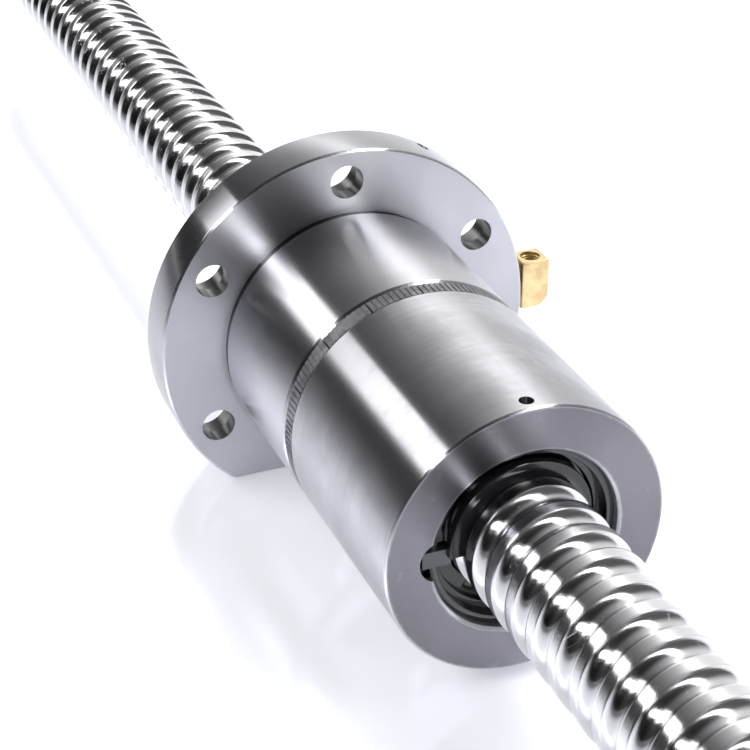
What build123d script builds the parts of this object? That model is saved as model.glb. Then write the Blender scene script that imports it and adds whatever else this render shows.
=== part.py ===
from build123d import *
import math
import os

# A preloaded double-nut ball screw. Sizes are in millimetres.
# X is the screw's axis and +Z is up. The origin is the centre of the flange's seat face.
# The flange is behind the seat face, and both nut bodies are on its +X side.

# Ball track
BALL_R = 3.572
LEAD = 12.0
BALL_CIRCLE_R = 20.5
TRACK_GAP = 0.3
TRACK_X = 4.4
CIRCUIT_TURNS = 2.5
TRAIN_SIDES = 8
RUN_OUT = 0.3
OVER_RUN = 0.45 * LEAD
TRACK_R = BALL_R + TRACK_GAP
CIRCUIT_LENGTH = CIRCUIT_TURNS * LEAD
FLANGED_CIRCUIT_X = TRACK_X + LEAD

# Screw shaft
SCREW_R = 19.5
THREAD_START_X = -402.0
THREAD_END_X = 254.0
JOURNAL_R = 15.0
JOURNAL_LENGTH = 46.0
THREAD_CHAMFER = 1.5
JOURNAL_CHAMFER = 1.5

# How far a cut goes past the face it breaks
CUT_MARGIN = 1.0

# Nut bodies
NUT_R = 42.0
NUT_BORE_R = 21.4
SPACER_WIDTH = 6.0
EDGE_CHAMFER = 1.0
END_WALL = 7.6
START_WALL = 16.0
LIP_END = 1.6
WIPER_TURNS = 2
FLANGED_BODY_LENGTH = FLANGED_CIRCUIT_X + CIRCUIT_LENGTH + END_WALL
PLAIN_START_X = FLANGED_BODY_LENGTH + SPACER_WIDTH
CIRCUIT_SPACING = math.ceil((PLAIN_START_X + START_WALL - FLANGED_CIRCUIT_X) / LEAD) * LEAD
PLAIN_CIRCUIT_X = FLANGED_CIRCUIT_X + CIRCUIT_SPACING
PLAIN_END_X = PLAIN_CIRCUIT_X + CIRCUIT_LENGTH + WIPER_TURNS * LEAD + LIP_END

# Flange
FLANGE_R = 62.5
FLANGE_THICKNESS = 17.0
FLANGE_FLAT_Z = -47.0
BOLT_CIRCLE_R = 52.0
BOLT_HOLE_R = 5.5
BOLT_ANGLES = (30, 90, 150, 210, 330)
RELIEF_WIDTH = 2.8
RELIEF_DEPTH = 0.6

# Wipers and their recesses
RECESS_R = 28.0
RECESS_DEPTH = 14.0
RECESS_CHAMFER = 0.8
WIPER_GAP = 0.1
WIPER_BORE_R = 20.0
WIPER_SEAT = 0.2
WIPER_STEPS = ((24.0, 3.2), (25.8, 6.3))
WIPER_WIDTH = 10.8
SPRING_GROOVE_DEPTH = 2.9
SPRING_GROOVE_WIDTH = 2.8
SPRING_OFFSET = 3.25
SPRING_WIRE_R = 1.0
SPRING_LIFT = 0.4
SPRING_SIDES = 8
SPRING_R = RECESS_R - WIPER_GAP - SPRING_GROOVE_DEPTH + SPRING_LIFT + SPRING_WIRE_R
LIP_R = 23.0
LIP_HALF_WIDTH = 1.5
LIP_TONGUE_R = 17.6
LIP_START = 1.9
NOTCH_R = 6.5
NOTCH_OUTER_R = 31.8
NOTCH_DEPTH = 6.0
TAB_WIDTH = 5.0
TAB_OUTER_R = NOTCH_OUTER_R - 1.4
TAB_LENGTH = 4.0
TAB_OVERLAP = 1.0

# Set screws of the wipers
SET_SCREW_R = 2.0
SET_SCREW_GAP = 0.1
SET_SCREW_LENGTH = 8.0
SET_SCREW_INSET = 4.3
HEX_KEY_R = 1.15
HEX_KEY_DEPTH = 2.5
FRONT_SCREW_ANGLE = 90
REAR_SCREW_ANGLE = 60

# Spacer ring
SPACER_R = NUT_R - 0.4
SPACER_BORE_R = 25.0
SLIT_COUNT = 16
SLIT_WIDTH = 0.7
SLIT_DEPTH = 3.0

# Return tubes and the flats they lie on
TUBE_R = 5.0
TUBE_BORE_R = 3.95
TUBE_GAP = 0.1
TUBE_TOP_Z = -4.0
TUBE_RUN_Z = -33.0
TUBE_BEND_R = 5.6
TUBE_CLEARANCE_R = 20.2
FLAT_Z = -28.0
FLAT_MARGIN = 7.0

# Tube clamps
STRAP_WIDTH = 8.0
STRAP_THICKNESS = 1.5
STRAP_HALF_LENGTH = 15.0
CLAMP_SCREW_SPREAD = 11.0
CLAMP_SHANK_R = 1.9
CLAMP_HOLE_R = 2.0
CLAMP_HOLE_DEPTH = 3.4
CLAMP_SHANK_DEPTH = 3.2
CLAMP_HEAD_R = 3.3
CLAMP_HEAD_HEIGHT = 3.0

# Key that stops one nut turning on the other
KEY_ANGLE = 335
KEY_WIDTH = 6.0
KEY_HEIGHT = 4.0
KEY_LENGTH = 46.0
KEY_SINK = 3.8
KEY_GAP = 0.05
KEY_SCREW_SPREAD = 17.0
KEY_SCREW_R = 1.5
KEY_HEAD_R = 2.4
KEY_HEAD_DEPTH = 1.8
KEY_SCREW_DEPTH = 6.0

# Lubrication elbow
ELBOW_X = -FLANGE_THICKNESS / 2
ELBOW_WIDTH = 10.0
ELBOW_INNER_Y = FLANGE_R + 1.9
ELBOW_OUTER_Y = ELBOW_INNER_Y + 10.0
ELBOW_BOTTOM_Z = -7.0
ELBOW_TOP_Z = 10.0
ELBOW_CORNER_R = 5.0
ELBOW_EDGE = 0.6
STUB_R = 3.0
STUB_GAP = 0.1
STUB_END_Y = FLANGE_R - 8.5
STUB_END_GAP = 1.0
NIPPLE_HOLE_R = 2.5
NIPPLE_HOLE_DEPTH = 9.0
OIL_WAY_R = 1.5
OIL_TURN_Y = 36.0

BOTTOM = (Align.CENTER, Align.CENTER, Align.MIN)
FRONT_WIPER_X = PLAIN_END_X - RECESS_DEPTH + WIPER_SEAT
REAR_WIPER_X = -FLANGE_THICKNESS + RECESS_DEPTH - WIPER_SEAT


def turned(*corners):
    """Solid turned about the X axis from its (x, radius) corners."""
    return revolve(make_face(Polyline(*corners, close=True)), Axis.X)


def round_bar(start, end, radius):
    """Straight round bar between two points, also used as a drill."""
    axis = Vector(*end) - Vector(*start)
    return extrude(Plane(origin=start, z_dir=axis) * Circle(radius), axis.length)


def radial_bar(x, angle, inner_r, outer_r, radius):
    """Round bar that points away from the axis at an angle in degrees."""
    return Pos(x, 0, 0) * Rot(angle - 90, 0, 0) * Pos(0, 0, inner_r) * Cylinder(
        radius, outer_r - inner_r, align=BOTTOM
    )


def along_track(section, x_start, x_end):
    """Sweep a section, drawn as (radius, x), along the helix of the ball track."""
    path = Helix(LEAD, x_end - x_start, BALL_CIRCLE_R)
    body = sweep(Plane.XZ * section, path=path, is_frenet=True)
    start_angle = 360 * (x_start - TRACK_X) / LEAD + 90
    return Pos(x_start, 0, 0) * Rot(start_angle, 0, 0) * Rot(0, 90, 0) * body


def screw_shaft():
    """Shaft with the right-hand ball track and a plain journal at each end."""
    shaft = Pos(THREAD_START_X, 0, 0) * Rot(0, 90, 0) * Cylinder(
        SCREW_R, THREAD_END_X - THREAD_START_X, align=BOTTOM
    )
    groove = Pos(BALL_CIRCLE_R, 0) * Circle(TRACK_R)
    shaft -= along_track(groove, THREAD_START_X - OVER_RUN, THREAD_END_X + OVER_RUN)
    for shoulder_x, outward in ((THREAD_START_X, -1), (THREAD_END_X, 1)):
        end_x = shoulder_x + outward * JOURNAL_LENGTH
        shaft += turned(
            (shoulder_x, 0),
            (shoulder_x, JOURNAL_R),
            (end_x - outward * JOURNAL_CHAMFER, JOURNAL_R),
            (end_x, JOURNAL_R - JOURNAL_CHAMFER),
            (end_x, 0),
        )
        shaft -= turned(
            (shoulder_x, SCREW_R - THREAD_CHAMFER),
            (shoulder_x - outward * THREAD_CHAMFER, SCREW_R),
            (shoulder_x - outward * THREAD_CHAMFER, SCREW_R + CUT_MARGIN),
            (shoulder_x, SCREW_R + CUT_MARGIN),
        )
    return shaft


def circuit_cuts(circuit_x):
    """Track, two tube holes and two clamp-screw holes of one ball circuit."""
    end_x = circuit_x + CIRCUIT_LENGTH
    groove = Pos(BALL_CIRCLE_R, 0) * RegularPolygon(TRACK_R, TRAIN_SIDES, major_radius=False)
    cuts = [along_track(groove, circuit_x - RUN_OUT, end_x + RUN_OUT)]
    for x, y in ((circuit_x, BALL_CIRCLE_R), (end_x, -BALL_CIRCLE_R)):
        cuts.append(round_bar((x, y, 0), (x, y, -NUT_R), TUBE_R + TUBE_GAP))
    for x, y in clamp_screw_places(circuit_x):
        hole_top = FLAT_Z + CLAMP_HOLE_DEPTH
        cuts.append(round_bar((x, y, -NUT_R), (x, y, hole_top), CLAMP_HOLE_R))
    return cuts


def key_slot():
    """Keyway milled across the nuts and the spacer ring."""
    middle_x = FLANGED_BODY_LENGTH + SPACER_WIDTH / 2
    slot = Box(KEY_LENGTH + 2 * KEY_GAP, KEY_WIDTH + 2 * KEY_GAP, NUT_R, align=BOTTOM)
    return Pos(middle_x, 0, 0) * Rot(KEY_ANGLE - 90, 0, 0) * Pos(0, 0, NUT_R - KEY_SINK) * slot


def key_screw_places():
    """Stations of the two key screws along the axis."""
    middle_x = FLANGED_BODY_LENGTH + SPACER_WIDTH / 2
    return (middle_x - KEY_SCREW_SPREAD, middle_x + KEY_SCREW_SPREAD)


def key_screw_hole(x):
    """Hole under the key for one of its screws."""
    foot_r = NUT_R - KEY_SINK - KEY_SCREW_DEPTH
    return radial_bar(x, KEY_ANGLE, foot_r, NUT_R, KEY_SCREW_R + KEY_GAP)


def flanged_nut():
    """Nut with the mounting flange, one ball circuit and the rear wiper's recess."""
    nut = turned(
        (-FLANGE_THICKNESS, RECESS_R + RECESS_CHAMFER),
        (-FLANGE_THICKNESS + RECESS_CHAMFER, RECESS_R),
        (-FLANGE_THICKNESS + RECESS_DEPTH, RECESS_R),
        (-FLANGE_THICKNESS + RECESS_DEPTH, NUT_BORE_R),
        (FLANGED_BODY_LENGTH, NUT_BORE_R),
        (FLANGED_BODY_LENGTH, NUT_R - EDGE_CHAMFER),
        (FLANGED_BODY_LENGTH - EDGE_CHAMFER, NUT_R),
        (RELIEF_WIDTH, NUT_R),
        (RELIEF_WIDTH, NUT_R - RELIEF_DEPTH),
        (0, NUT_R - RELIEF_DEPTH),
        (0, FLANGE_R - EDGE_CHAMFER),
        (-EDGE_CHAMFER, FLANGE_R),
        (-FLANGE_THICKNESS + EDGE_CHAMFER, FLANGE_R),
        (-FLANGE_THICKNESS, FLANGE_R - EDGE_CHAMFER),
    )
    below_flat = Box(2 * FLANGE_THICKNESS, 2 * FLANGE_R, FLANGE_R, align=BOTTOM)
    nut -= Pos(-FLANGE_THICKNESS, 0, FLANGE_FLAT_Z - FLANGE_R) * below_flat
    for angle in BOLT_ANGLES:
        y = BOLT_CIRCLE_R * math.cos(math.radians(angle))
        z = BOLT_CIRCLE_R * math.sin(math.radians(angle))
        nut -= round_bar((-FLANGE_THICKNESS, y, z), (0, y, z), BOLT_HOLE_R)
    flat_start = FLANGED_CIRCUIT_X - FLAT_MARGIN
    flat_length = FLANGED_BODY_LENGTH - flat_start
    flat = Box(flat_length, 2 * NUT_R, NUT_R, align=(Align.MIN, Align.CENTER, Align.MAX))
    nut -= Pos(flat_start, 0, FLAT_Z) * flat
    for cut in circuit_cuts(FLANGED_CIRCUIT_X):
        nut -= cut
    nut -= key_slot()
    nut -= key_screw_hole(key_screw_places()[0])
    screw_x = -FLANGE_THICKNESS + SET_SCREW_INSET
    hole_r = SET_SCREW_R + SET_SCREW_GAP
    nut -= radial_bar(screw_x, REAR_SCREW_ANGLE, RECESS_R - CUT_MARGIN, FLANGE_R + CUT_MARGIN, hole_r)
    socket_end = (ELBOW_X, STUB_END_Y - STUB_END_GAP, 0)
    nut -= round_bar(socket_end, (ELBOW_X, FLANGE_R + CUT_MARGIN, 0), STUB_R + STUB_GAP)
    nut -= round_bar((ELBOW_X, OIL_TURN_Y, 0), socket_end, OIL_WAY_R)
    nut -= round_bar((ELBOW_X, OIL_TURN_Y, 0), (FLANGED_CIRCUIT_X / 2, 0, 0), OIL_WAY_R)
    return nut


def plain_nut():
    """Nut without a flange, one ball circuit and the front wiper's recess."""
    nut = turned(
        (PLAIN_START_X, NUT_BORE_R),
        (PLAIN_END_X - RECESS_DEPTH, NUT_BORE_R),
        (PLAIN_END_X - RECESS_DEPTH, RECESS_R),
        (PLAIN_END_X - RECESS_CHAMFER, RECESS_R),
        (PLAIN_END_X, RECESS_R + RECESS_CHAMFER),
        (PLAIN_END_X, NUT_R - EDGE_CHAMFER),
        (PLAIN_END_X - EDGE_CHAMFER, NUT_R),
        (PLAIN_START_X + EDGE_CHAMFER, NUT_R),
        (PLAIN_START_X, NUT_R - EDGE_CHAMFER),
    )
    flat_length = CIRCUIT_LENGTH + 2 * FLAT_MARGIN
    flat = Box(flat_length, 2 * NUT_R, NUT_R, align=(Align.MIN, Align.CENTER, Align.MAX))
    nut -= Pos(PLAIN_CIRCUIT_X - FLAT_MARGIN, 0, FLAT_Z) * flat
    for cut in circuit_cuts(PLAIN_CIRCUIT_X):
        nut -= cut
    nut -= key_slot()
    nut -= key_screw_hole(key_screw_places()[1])
    notch_y = NOTCH_R - NOTCH_OUTER_R
    notch_floor = (PLAIN_END_X - NOTCH_DEPTH, notch_y, 0)
    nut -= round_bar(notch_floor, (PLAIN_END_X, notch_y, 0), NOTCH_R)
    hole_r = SET_SCREW_R + SET_SCREW_GAP
    screw_x = PLAIN_END_X - SET_SCREW_INSET
    nut -= radial_bar(screw_x, FRONT_SCREW_ANGLE, RECESS_R - CUT_MARGIN, NUT_R + CUT_MARGIN, hole_r)
    return nut


def spacer_ring():
    """Preload spacer between the nuts, slit all round its rim."""
    ring = turned(
        (FLANGED_BODY_LENGTH, SPACER_BORE_R),
        (PLAIN_START_X, SPACER_BORE_R),
        (PLAIN_START_X, SPACER_R),
        (FLANGED_BODY_LENGTH, SPACER_R),
    )
    middle_x = FLANGED_BODY_LENGTH + SPACER_WIDTH / 2
    slit = Pos(0, 0, SPACER_R - SLIT_DEPTH) * Box(SPACER_WIDTH, SLIT_WIDTH, NUT_R, align=BOTTOM)
    for index in range(SLIT_COUNT):
        ring -= Pos(middle_x, 0, 0) * Rot(index * 360 / SLIT_COUNT, 0, 0) * slit
    return ring - key_slot()


def wiper_ring(inner_x, outward):
    """Ring of a wiper, stepped up to its rim, with a groove for the garter spring."""
    outer_r = RECESS_R - WIPER_GAP
    step_corners = []
    inner_r = WIPER_BORE_R
    for step_r, step_width in (*WIPER_STEPS, (outer_r, WIPER_WIDTH)):
        step_x = inner_x + outward * step_width
        step_corners += [(step_x, inner_r), (step_x, step_r)]
        inner_r = step_r
    groove_r = outer_r - SPRING_GROOVE_DEPTH
    groove_a = inner_x + outward * (SPRING_OFFSET - SPRING_GROOVE_WIDTH / 2)
    groove_b = inner_x + outward * (SPRING_OFFSET + SPRING_GROOVE_WIDTH / 2)
    return turned(
        (inner_x, WIPER_BORE_R),
        *step_corners,
        (groove_b, outer_r),
        (groove_b, groove_r),
        (groove_a, groove_r),
        (groove_a, outer_r),
        (inner_x, outer_r),
    )


def wiper_lip(x_start, x_end):
    """Helical lip whose inner edge lies in the screw's track."""
    lip = Rectangle(LIP_R - LIP_TONGUE_R, 2 * LIP_HALF_WIDTH, align=(Align.MIN, Align.CENTER))
    return along_track(Pos(LIP_TONGUE_R, 0) * lip, x_start, x_end)


def front_wiper():
    """Plastic wiper of the plain nut, with a tab in the notch of the nut's face."""
    end_x = PLAIN_END_X - LIP_END
    wiper = wiper_ring(FRONT_WIPER_X, 1) + wiper_lip(FRONT_WIPER_X + LIP_START, end_x)
    tab_length = TAB_OUTER_R - LIP_R + TAB_OVERLAP
    tab = Box(TAB_LENGTH, tab_length, TAB_WIDTH, align=(Align.MAX, Align.MIN, Align.CENTER))
    return wiper + Pos(end_x, -TAB_OUTER_R, 0) * tab


def rear_wiper():
    """Plastic wiper in the flange."""
    start_x = -FLANGE_THICKNESS + LIP_END
    end_x = REAR_WIPER_X - LIP_START
    return wiper_ring(REAR_WIPER_X, -1) + wiper_lip(start_x, end_x)


def garter_spring(x):
    """Closed ring of the spring that holds a wiper to the screw."""
    wire = Pos(x, SPRING_R) * RegularPolygon(SPRING_WIRE_R, SPRING_SIDES)
    return revolve(wire, Axis.X)


def set_screw(x, angle, face_r):
    """Set screw with a hexagon socket, its flat point towards the axis."""
    screw = radial_bar(x, angle, face_r - SET_SCREW_LENGTH, face_r, SET_SCREW_R)
    socket = extrude(RegularPolygon(HEX_KEY_R, 6), HEX_KEY_DEPTH)
    return screw - Pos(x, 0, 0) * Rot(angle - 90, 0, 0) * Pos(0, 0, face_r - HEX_KEY_DEPTH) * socket


def return_path(circuit_x, top_z):
    """Line from one tube mouth down, across the flat and up to the other."""
    end_x = circuit_x + CIRCUIT_LENGTH
    corners = (
        (circuit_x, BALL_CIRCLE_R, top_z),
        (circuit_x, BALL_CIRCLE_R, TUBE_RUN_Z),
        (end_x, -BALL_CIRCLE_R, TUBE_RUN_Z),
        (end_x, -BALL_CIRCLE_R, top_z),
    )
    return FilletPolyline(*corners, radius=TUBE_BEND_R)


def along_return(circuit_x, top_z, section):
    """Sweep a section along the return path of one circuit."""
    start = Plane(origin=(circuit_x, BALL_CIRCLE_R, top_z), z_dir=(0, 0, -1))
    return sweep(start * section, path=return_path(circuit_x, top_z))


def return_tube(circuit_x):
    """Bent tube whose ends are cut back to clear the screw."""
    tube = along_return(circuit_x, TUBE_TOP_Z, Circle(TUBE_R) - Circle(TUBE_BORE_R))
    middle_x = circuit_x + CIRCUIT_LENGTH / 2
    screw_space = Rot(0, 90, 0) * Cylinder(TUBE_CLEARANCE_R, 2 * CIRCUIT_LENGTH)
    return tube - Pos(middle_x, 0, 0) * screw_space


def ball_train(circuit_x):
    """The balls of one circuit as two touching trains, in the track and in the tube."""
    outline = RegularPolygon(BALL_R, TRAIN_SIDES)
    end_x = circuit_x + CIRCUIT_LENGTH
    loaded = along_track(Pos(BALL_CIRCLE_R, 0) * outline, circuit_x, end_x)
    returning = along_return(circuit_x, 0, outline)
    return Compound(children=[loaded.solid(), returning.solid()])


def run_direction():
    """Unit vector along the slanting run of a return tube."""
    return Vector(CIRCUIT_LENGTH, -2 * BALL_CIRCLE_R, 0).normalized()


def clamp_screw_places(circuit_x):
    """Places of the two clamp screws, either side of the tube."""
    across = run_direction().rotate(Axis.Z, 90)
    middle_x = circuit_x + CIRCUIT_LENGTH / 2
    offsets = (across * -CLAMP_SCREW_SPREAD, across * CLAMP_SCREW_SPREAD)
    return [(middle_x + offset.X, offset.Y) for offset in offsets]


def clamp_plane(circuit_x):
    """Plane across the tube at its middle, x across the run and y down."""
    across = run_direction().rotate(Axis.Z, 90)
    middle = (circuit_x + CIRCUIT_LENGTH / 2, 0, TUBE_RUN_Z)
    return Plane(origin=middle, x_dir=across, z_dir=run_direction())


def tube_clamp(circuit_x):
    """Bent strap that holds a return tube on its flat."""
    plane = clamp_plane(circuit_x)
    foot_y = abs(TUBE_RUN_Z - FLAT_Z)
    upward = plane.y_dir.Z > 0
    side = 1 if upward else -1
    foot = Pos(0, side * (foot_y - STRAP_THICKNESS / 2)) * Rectangle(
        2 * STRAP_HALF_LENGTH, STRAP_THICKNESS
    )
    saddle_r = TUBE_R + TUBE_GAP
    hump = Circle(saddle_r + STRAP_THICKNESS)
    hump += Pos(0, side * foot_y / 2) * Rectangle(2 * (saddle_r + STRAP_THICKNESS), foot_y)
    hollow = Circle(saddle_r) + Pos(0, side * foot_y / 2) * Rectangle(2 * saddle_r, foot_y)
    below_flat = Pos(0, side * foot_y) * Rectangle(
        2 * STRAP_HALF_LENGTH, NUT_R, align=(Align.CENTER, Align.MAX if upward else Align.MIN)
    )
    profile = (foot + hump - hollow) & below_flat
    strap = extrude(plane * profile, STRAP_WIDTH / 2, both=True)
    for x, y in clamp_screw_places(circuit_x):
        strap -= round_bar((x, y, -NUT_R), (x, y, FLAT_Z), CLAMP_HOLE_R)
    return strap


def clamp_screws(circuit_x):
    """Two cheese-head screws of a tube clamp."""
    screws = []
    head_z = FLAT_Z - STRAP_THICKNESS
    for x, y in clamp_screw_places(circuit_x):
        screw = round_bar((x, y, head_z), (x, y, FLAT_Z + CLAMP_SHANK_DEPTH), CLAMP_SHANK_R)
        screw += round_bar((x, y, head_z - CLAMP_HEAD_HEIGHT), (x, y, head_z), CLAMP_HEAD_R)
        screws.append(screw.solid())
    return Compound(children=screws)


def nut_key():
    """Key with rounded ends laid across the spacer ring."""
    middle_x = FLANGED_BODY_LENGTH + SPACER_WIDTH / 2
    key = Box(KEY_LENGTH, KEY_WIDTH, KEY_HEIGHT, align=BOTTOM)
    seat = Pos(middle_x, 0, 0) * Rot(KEY_ANGLE - 90, 0, 0) * Pos(0, 0, NUT_R - KEY_SINK)
    key = seat * key
    top_r = NUT_R - KEY_SINK + KEY_HEIGHT
    for x in key_screw_places():
        under_r = NUT_R - KEY_SINK - CUT_MARGIN
        above_r = top_r + CUT_MARGIN
        key -= radial_bar(x, KEY_ANGLE, under_r, above_r, KEY_SCREW_R + KEY_GAP)
        head_foot = top_r - KEY_HEAD_DEPTH
        key -= radial_bar(x, KEY_ANGLE, head_foot, above_r, KEY_HEAD_R + KEY_GAP)
    return key


def key_screws():
    """Two sunk-head screws that hold the key."""
    top_r = NUT_R - KEY_SINK + KEY_HEIGHT
    head_foot = top_r - KEY_HEAD_DEPTH
    foot_r = NUT_R - KEY_SINK - KEY_SCREW_DEPTH + 2 * KEY_GAP
    screws = []
    for x in key_screw_places():
        screw = radial_bar(x, KEY_ANGLE, foot_r, head_foot + 2 * KEY_GAP, KEY_SCREW_R)
        screw += radial_bar(x, KEY_ANGLE, head_foot, top_r - 2 * KEY_GAP, KEY_HEAD_R)
        screws.append(screw.solid())
    return Compound(children=screws)


def lube_elbow():
    """Brass elbow screwed into the flange's rim, its inlet pointing up."""
    height = ELBOW_TOP_Z - ELBOW_BOTTOM_Z
    depth = ELBOW_OUTER_Y - ELBOW_INNER_Y
    block = Box(ELBOW_WIDTH, depth, height, align=(Align.CENTER, Align.MIN, Align.MIN))
    block = Pos(ELBOW_X, ELBOW_INNER_Y, ELBOW_BOTTOM_Z) * block
    corner = block.edges().filter_by(Axis.X).group_by(Axis.Z)[0].sort_by(Axis.Y)[-1]
    block = fillet(corner, ELBOW_CORNER_R)
    block = chamfer(block.edges().group_by(Axis.Z)[-1], ELBOW_EDGE)
    middle_y = (ELBOW_INNER_Y + ELBOW_OUTER_Y) / 2
    inlet_foot = (ELBOW_X, middle_y, ELBOW_TOP_Z - NIPPLE_HOLE_DEPTH)
    stub = round_bar((ELBOW_X, STUB_END_Y, 0), (ELBOW_X, ELBOW_INNER_Y, 0), STUB_R)
    elbow = block + stub
    elbow -= round_bar(inlet_foot, (ELBOW_X, middle_y, ELBOW_TOP_Z), NIPPLE_HOLE_R)
    elbow -= round_bar((ELBOW_X, STUB_END_Y, 0), (ELBOW_X, middle_y, 0), OIL_WAY_R)
    return elbow - round_bar((ELBOW_X, middle_y, 0), inlet_foot, OIL_WAY_R)


def pieces():
    """Every piece of the ball screw by name."""
    front_spring_x = FRONT_WIPER_X + SPRING_OFFSET
    rear_spring_x = REAR_WIPER_X - SPRING_OFFSET
    front_screw_x = PLAIN_END_X - SET_SCREW_INSET
    rear_screw_x = -FLANGE_THICKNESS + SET_SCREW_INSET
    screw_face_r = RECESS_R + SET_SCREW_LENGTH
    return {
        "screw_shaft": screw_shaft(),
        "flanged_nut": flanged_nut(),
        "plain_nut": plain_nut(),
        "spacer_ring": spacer_ring(),
        "front_wiper": front_wiper(),
        "rear_wiper": rear_wiper(),
        "front_wiper_spring": garter_spring(front_spring_x),
        "rear_wiper_spring": garter_spring(rear_spring_x),
        "front_wiper_screw": set_screw(front_screw_x, FRONT_SCREW_ANGLE, screw_face_r),
        "rear_wiper_screw": set_screw(rear_screw_x, REAR_SCREW_ANGLE, screw_face_r),
        "flanged_nut_return_tube": return_tube(FLANGED_CIRCUIT_X),
        "plain_nut_return_tube": return_tube(PLAIN_CIRCUIT_X),
        "flanged_nut_tube_clamp": tube_clamp(FLANGED_CIRCUIT_X),
        "plain_nut_tube_clamp": tube_clamp(PLAIN_CIRCUIT_X),
        "flanged_nut_clamp_screws": clamp_screws(FLANGED_CIRCUIT_X),
        "plain_nut_clamp_screws": clamp_screws(PLAIN_CIRCUIT_X),
        "flanged_nut_balls": ball_train(FLANGED_CIRCUIT_X),
        "plain_nut_balls": ball_train(PLAIN_CIRCUIT_X),
        "nut_key": nut_key(),
        "nut_key_screws": key_screws(),
        "lube_elbow": lube_elbow(),
    }


os.makedirs("parts", exist_ok=True)
for name, piece in pieces().items():
    export_step(piece, f"parts/{name}.step")
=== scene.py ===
"""Studio scene of a preloaded double-nut ball screw.

The sizes are in millimetres and become metres when a mesh is made. X is the
screw's axis, +Z is up, and the origin is the centre of the flange's seat face.
"""

import logging
import math
from contextlib import contextmanager
from dataclasses import dataclass, field
from enum import Enum
from typing import Callable, Dict, Iterator, List, Optional, Sequence, Tuple, Union

import bmesh
import bpy
from mathutils import Matrix, Vector


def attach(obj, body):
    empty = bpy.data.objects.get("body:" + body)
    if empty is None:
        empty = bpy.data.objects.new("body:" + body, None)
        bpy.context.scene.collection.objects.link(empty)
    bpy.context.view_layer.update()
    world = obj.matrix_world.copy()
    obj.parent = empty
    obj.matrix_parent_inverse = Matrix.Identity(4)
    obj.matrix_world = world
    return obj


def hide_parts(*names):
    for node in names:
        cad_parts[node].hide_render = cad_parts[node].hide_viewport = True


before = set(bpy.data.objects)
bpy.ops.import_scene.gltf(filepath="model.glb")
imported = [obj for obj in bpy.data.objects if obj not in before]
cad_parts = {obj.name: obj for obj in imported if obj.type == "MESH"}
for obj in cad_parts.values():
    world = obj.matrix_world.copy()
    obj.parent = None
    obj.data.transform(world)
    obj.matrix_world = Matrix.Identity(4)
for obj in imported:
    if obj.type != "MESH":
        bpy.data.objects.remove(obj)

LOG = logging.getLogger("ball_screw")
MM = 0.001
TURN = 2 * math.pi
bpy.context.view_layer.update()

Mesh = bpy.types.Mesh
Material = bpy.types.Material
Tree = bpy.types.NodeTree
Pair = Tuple[float, float]
Point = Tuple[float, float, float]
Colour = Tuple[float, float, float]
Profile = Sequence[Pair]
Value = Union["Signal", float]


class Body(Enum):
    """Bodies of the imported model."""

    NUT = "nut"
    RINGS = "spring_rings"
    SCREW = "screw"


class Slot(Enum):
    """Material slots of the record."""

    GROUND = "ground_steel"
    TRACK = "track_steel"
    DARK = "dark_steel"
    SPRING = "spring_steel"
    TUBE = "tube_steel"
    BALL = "ball_steel"
    BLACK = "black_steel"
    PLASTIC = "black_plastic"
    BRASS = "brass"


# Mesh helpers

WELD = 1e-7
LEAST_EDGE = 1e-8
LARGEST_SHARE = 0.45
FLAT_OFFSET = 0.31
BEVEL_ANGLE = 35
SHARP_ANGLE = 30.0
TUBE_ANGLE = 40.0
COIL_ANGLE = 60.0
ROOM_SIDES = 96
HOLE_SIDES = 72
PIN_SIDES = 48
CLAMP_SIDES = 24


def new_object(name: str, mesh: bpy.types.ID) -> bpy.types.Object:
    """Put a mesh, curve, light or camera into the scene as an object at the origin.

    Args:
        name: Name of the object.
        mesh: Mesh, curve, light or camera that it shows.

    Returns:
        The object.
    """
    piece = bpy.data.objects.new(name, mesh)
    bpy.context.scene.collection.objects.link(piece)
    return piece


@contextmanager
def edited(mesh: Mesh) -> Iterator[bmesh.types.BMesh]:
    """Open a mesh for an edit and write the result back at its end.

    Args:
        mesh: The mesh.

    Yields:
        The opened mesh.
    """
    work = bmesh.new()
    work.from_mesh(mesh)
    yield work
    work.to_mesh(mesh)
    work.free()


def mesh_from(name: str, points: Sequence[Point], faces: Sequence[Sequence[int]]) -> Mesh:
    """Make a clean closed mesh from points in millimetres.

    Args:
        name: Name of the mesh.
        points: Corners in millimetres.
        faces: Corner numbers of each face.

    Returns:
        The mesh in metres, with its faces pointing outwards.
    """
    mesh = bpy.data.meshes.new(name)
    mesh.from_pydata([(x * MM, y * MM, z * MM) for x, y, z in points], [], faces)
    with edited(mesh) as work:
        bmesh.ops.remove_doubles(work, verts=work.verts, dist=WELD)
        bmesh.ops.dissolve_degenerate(work, edges=work.edges, dist=LEAST_EDGE)
        loose = [edge for edge in work.edges if not edge.link_faces]
        bmesh.ops.delete(work, geom=loose, context="EDGES")
        bmesh.ops.recalc_face_normals(work, faces=work.faces)
    return mesh


def lathe(name: str, profile: Profile, segments: int, rounding: float) -> Mesh:
    """Turn a closed profile with rounded corners about the X axis.

    Args:
        name: Name of the mesh.
        profile: Corners as (x, radius), in order round the section.
        segments: Number of steps round the axis.
        rounding: Length cut from each side of a corner.

    Returns:
        The turned mesh.
    """
    profile = round_corners(profile, rounding)
    count = len(profile)
    points: List[Point] = []
    for step in range(segments):
        turn = TURN * step / segments
        points += [(x, r * math.cos(turn), r * math.sin(turn)) for x, r in profile]
    faces = []
    for step in range(segments):
        here, there = step * count, (step + 1) % segments * count
        for k in range(count):
            m = (k + 1) % count
            faces.append((here + k, here + m, there + m, there + k))
    return mesh_from(name, points, faces)


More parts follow.
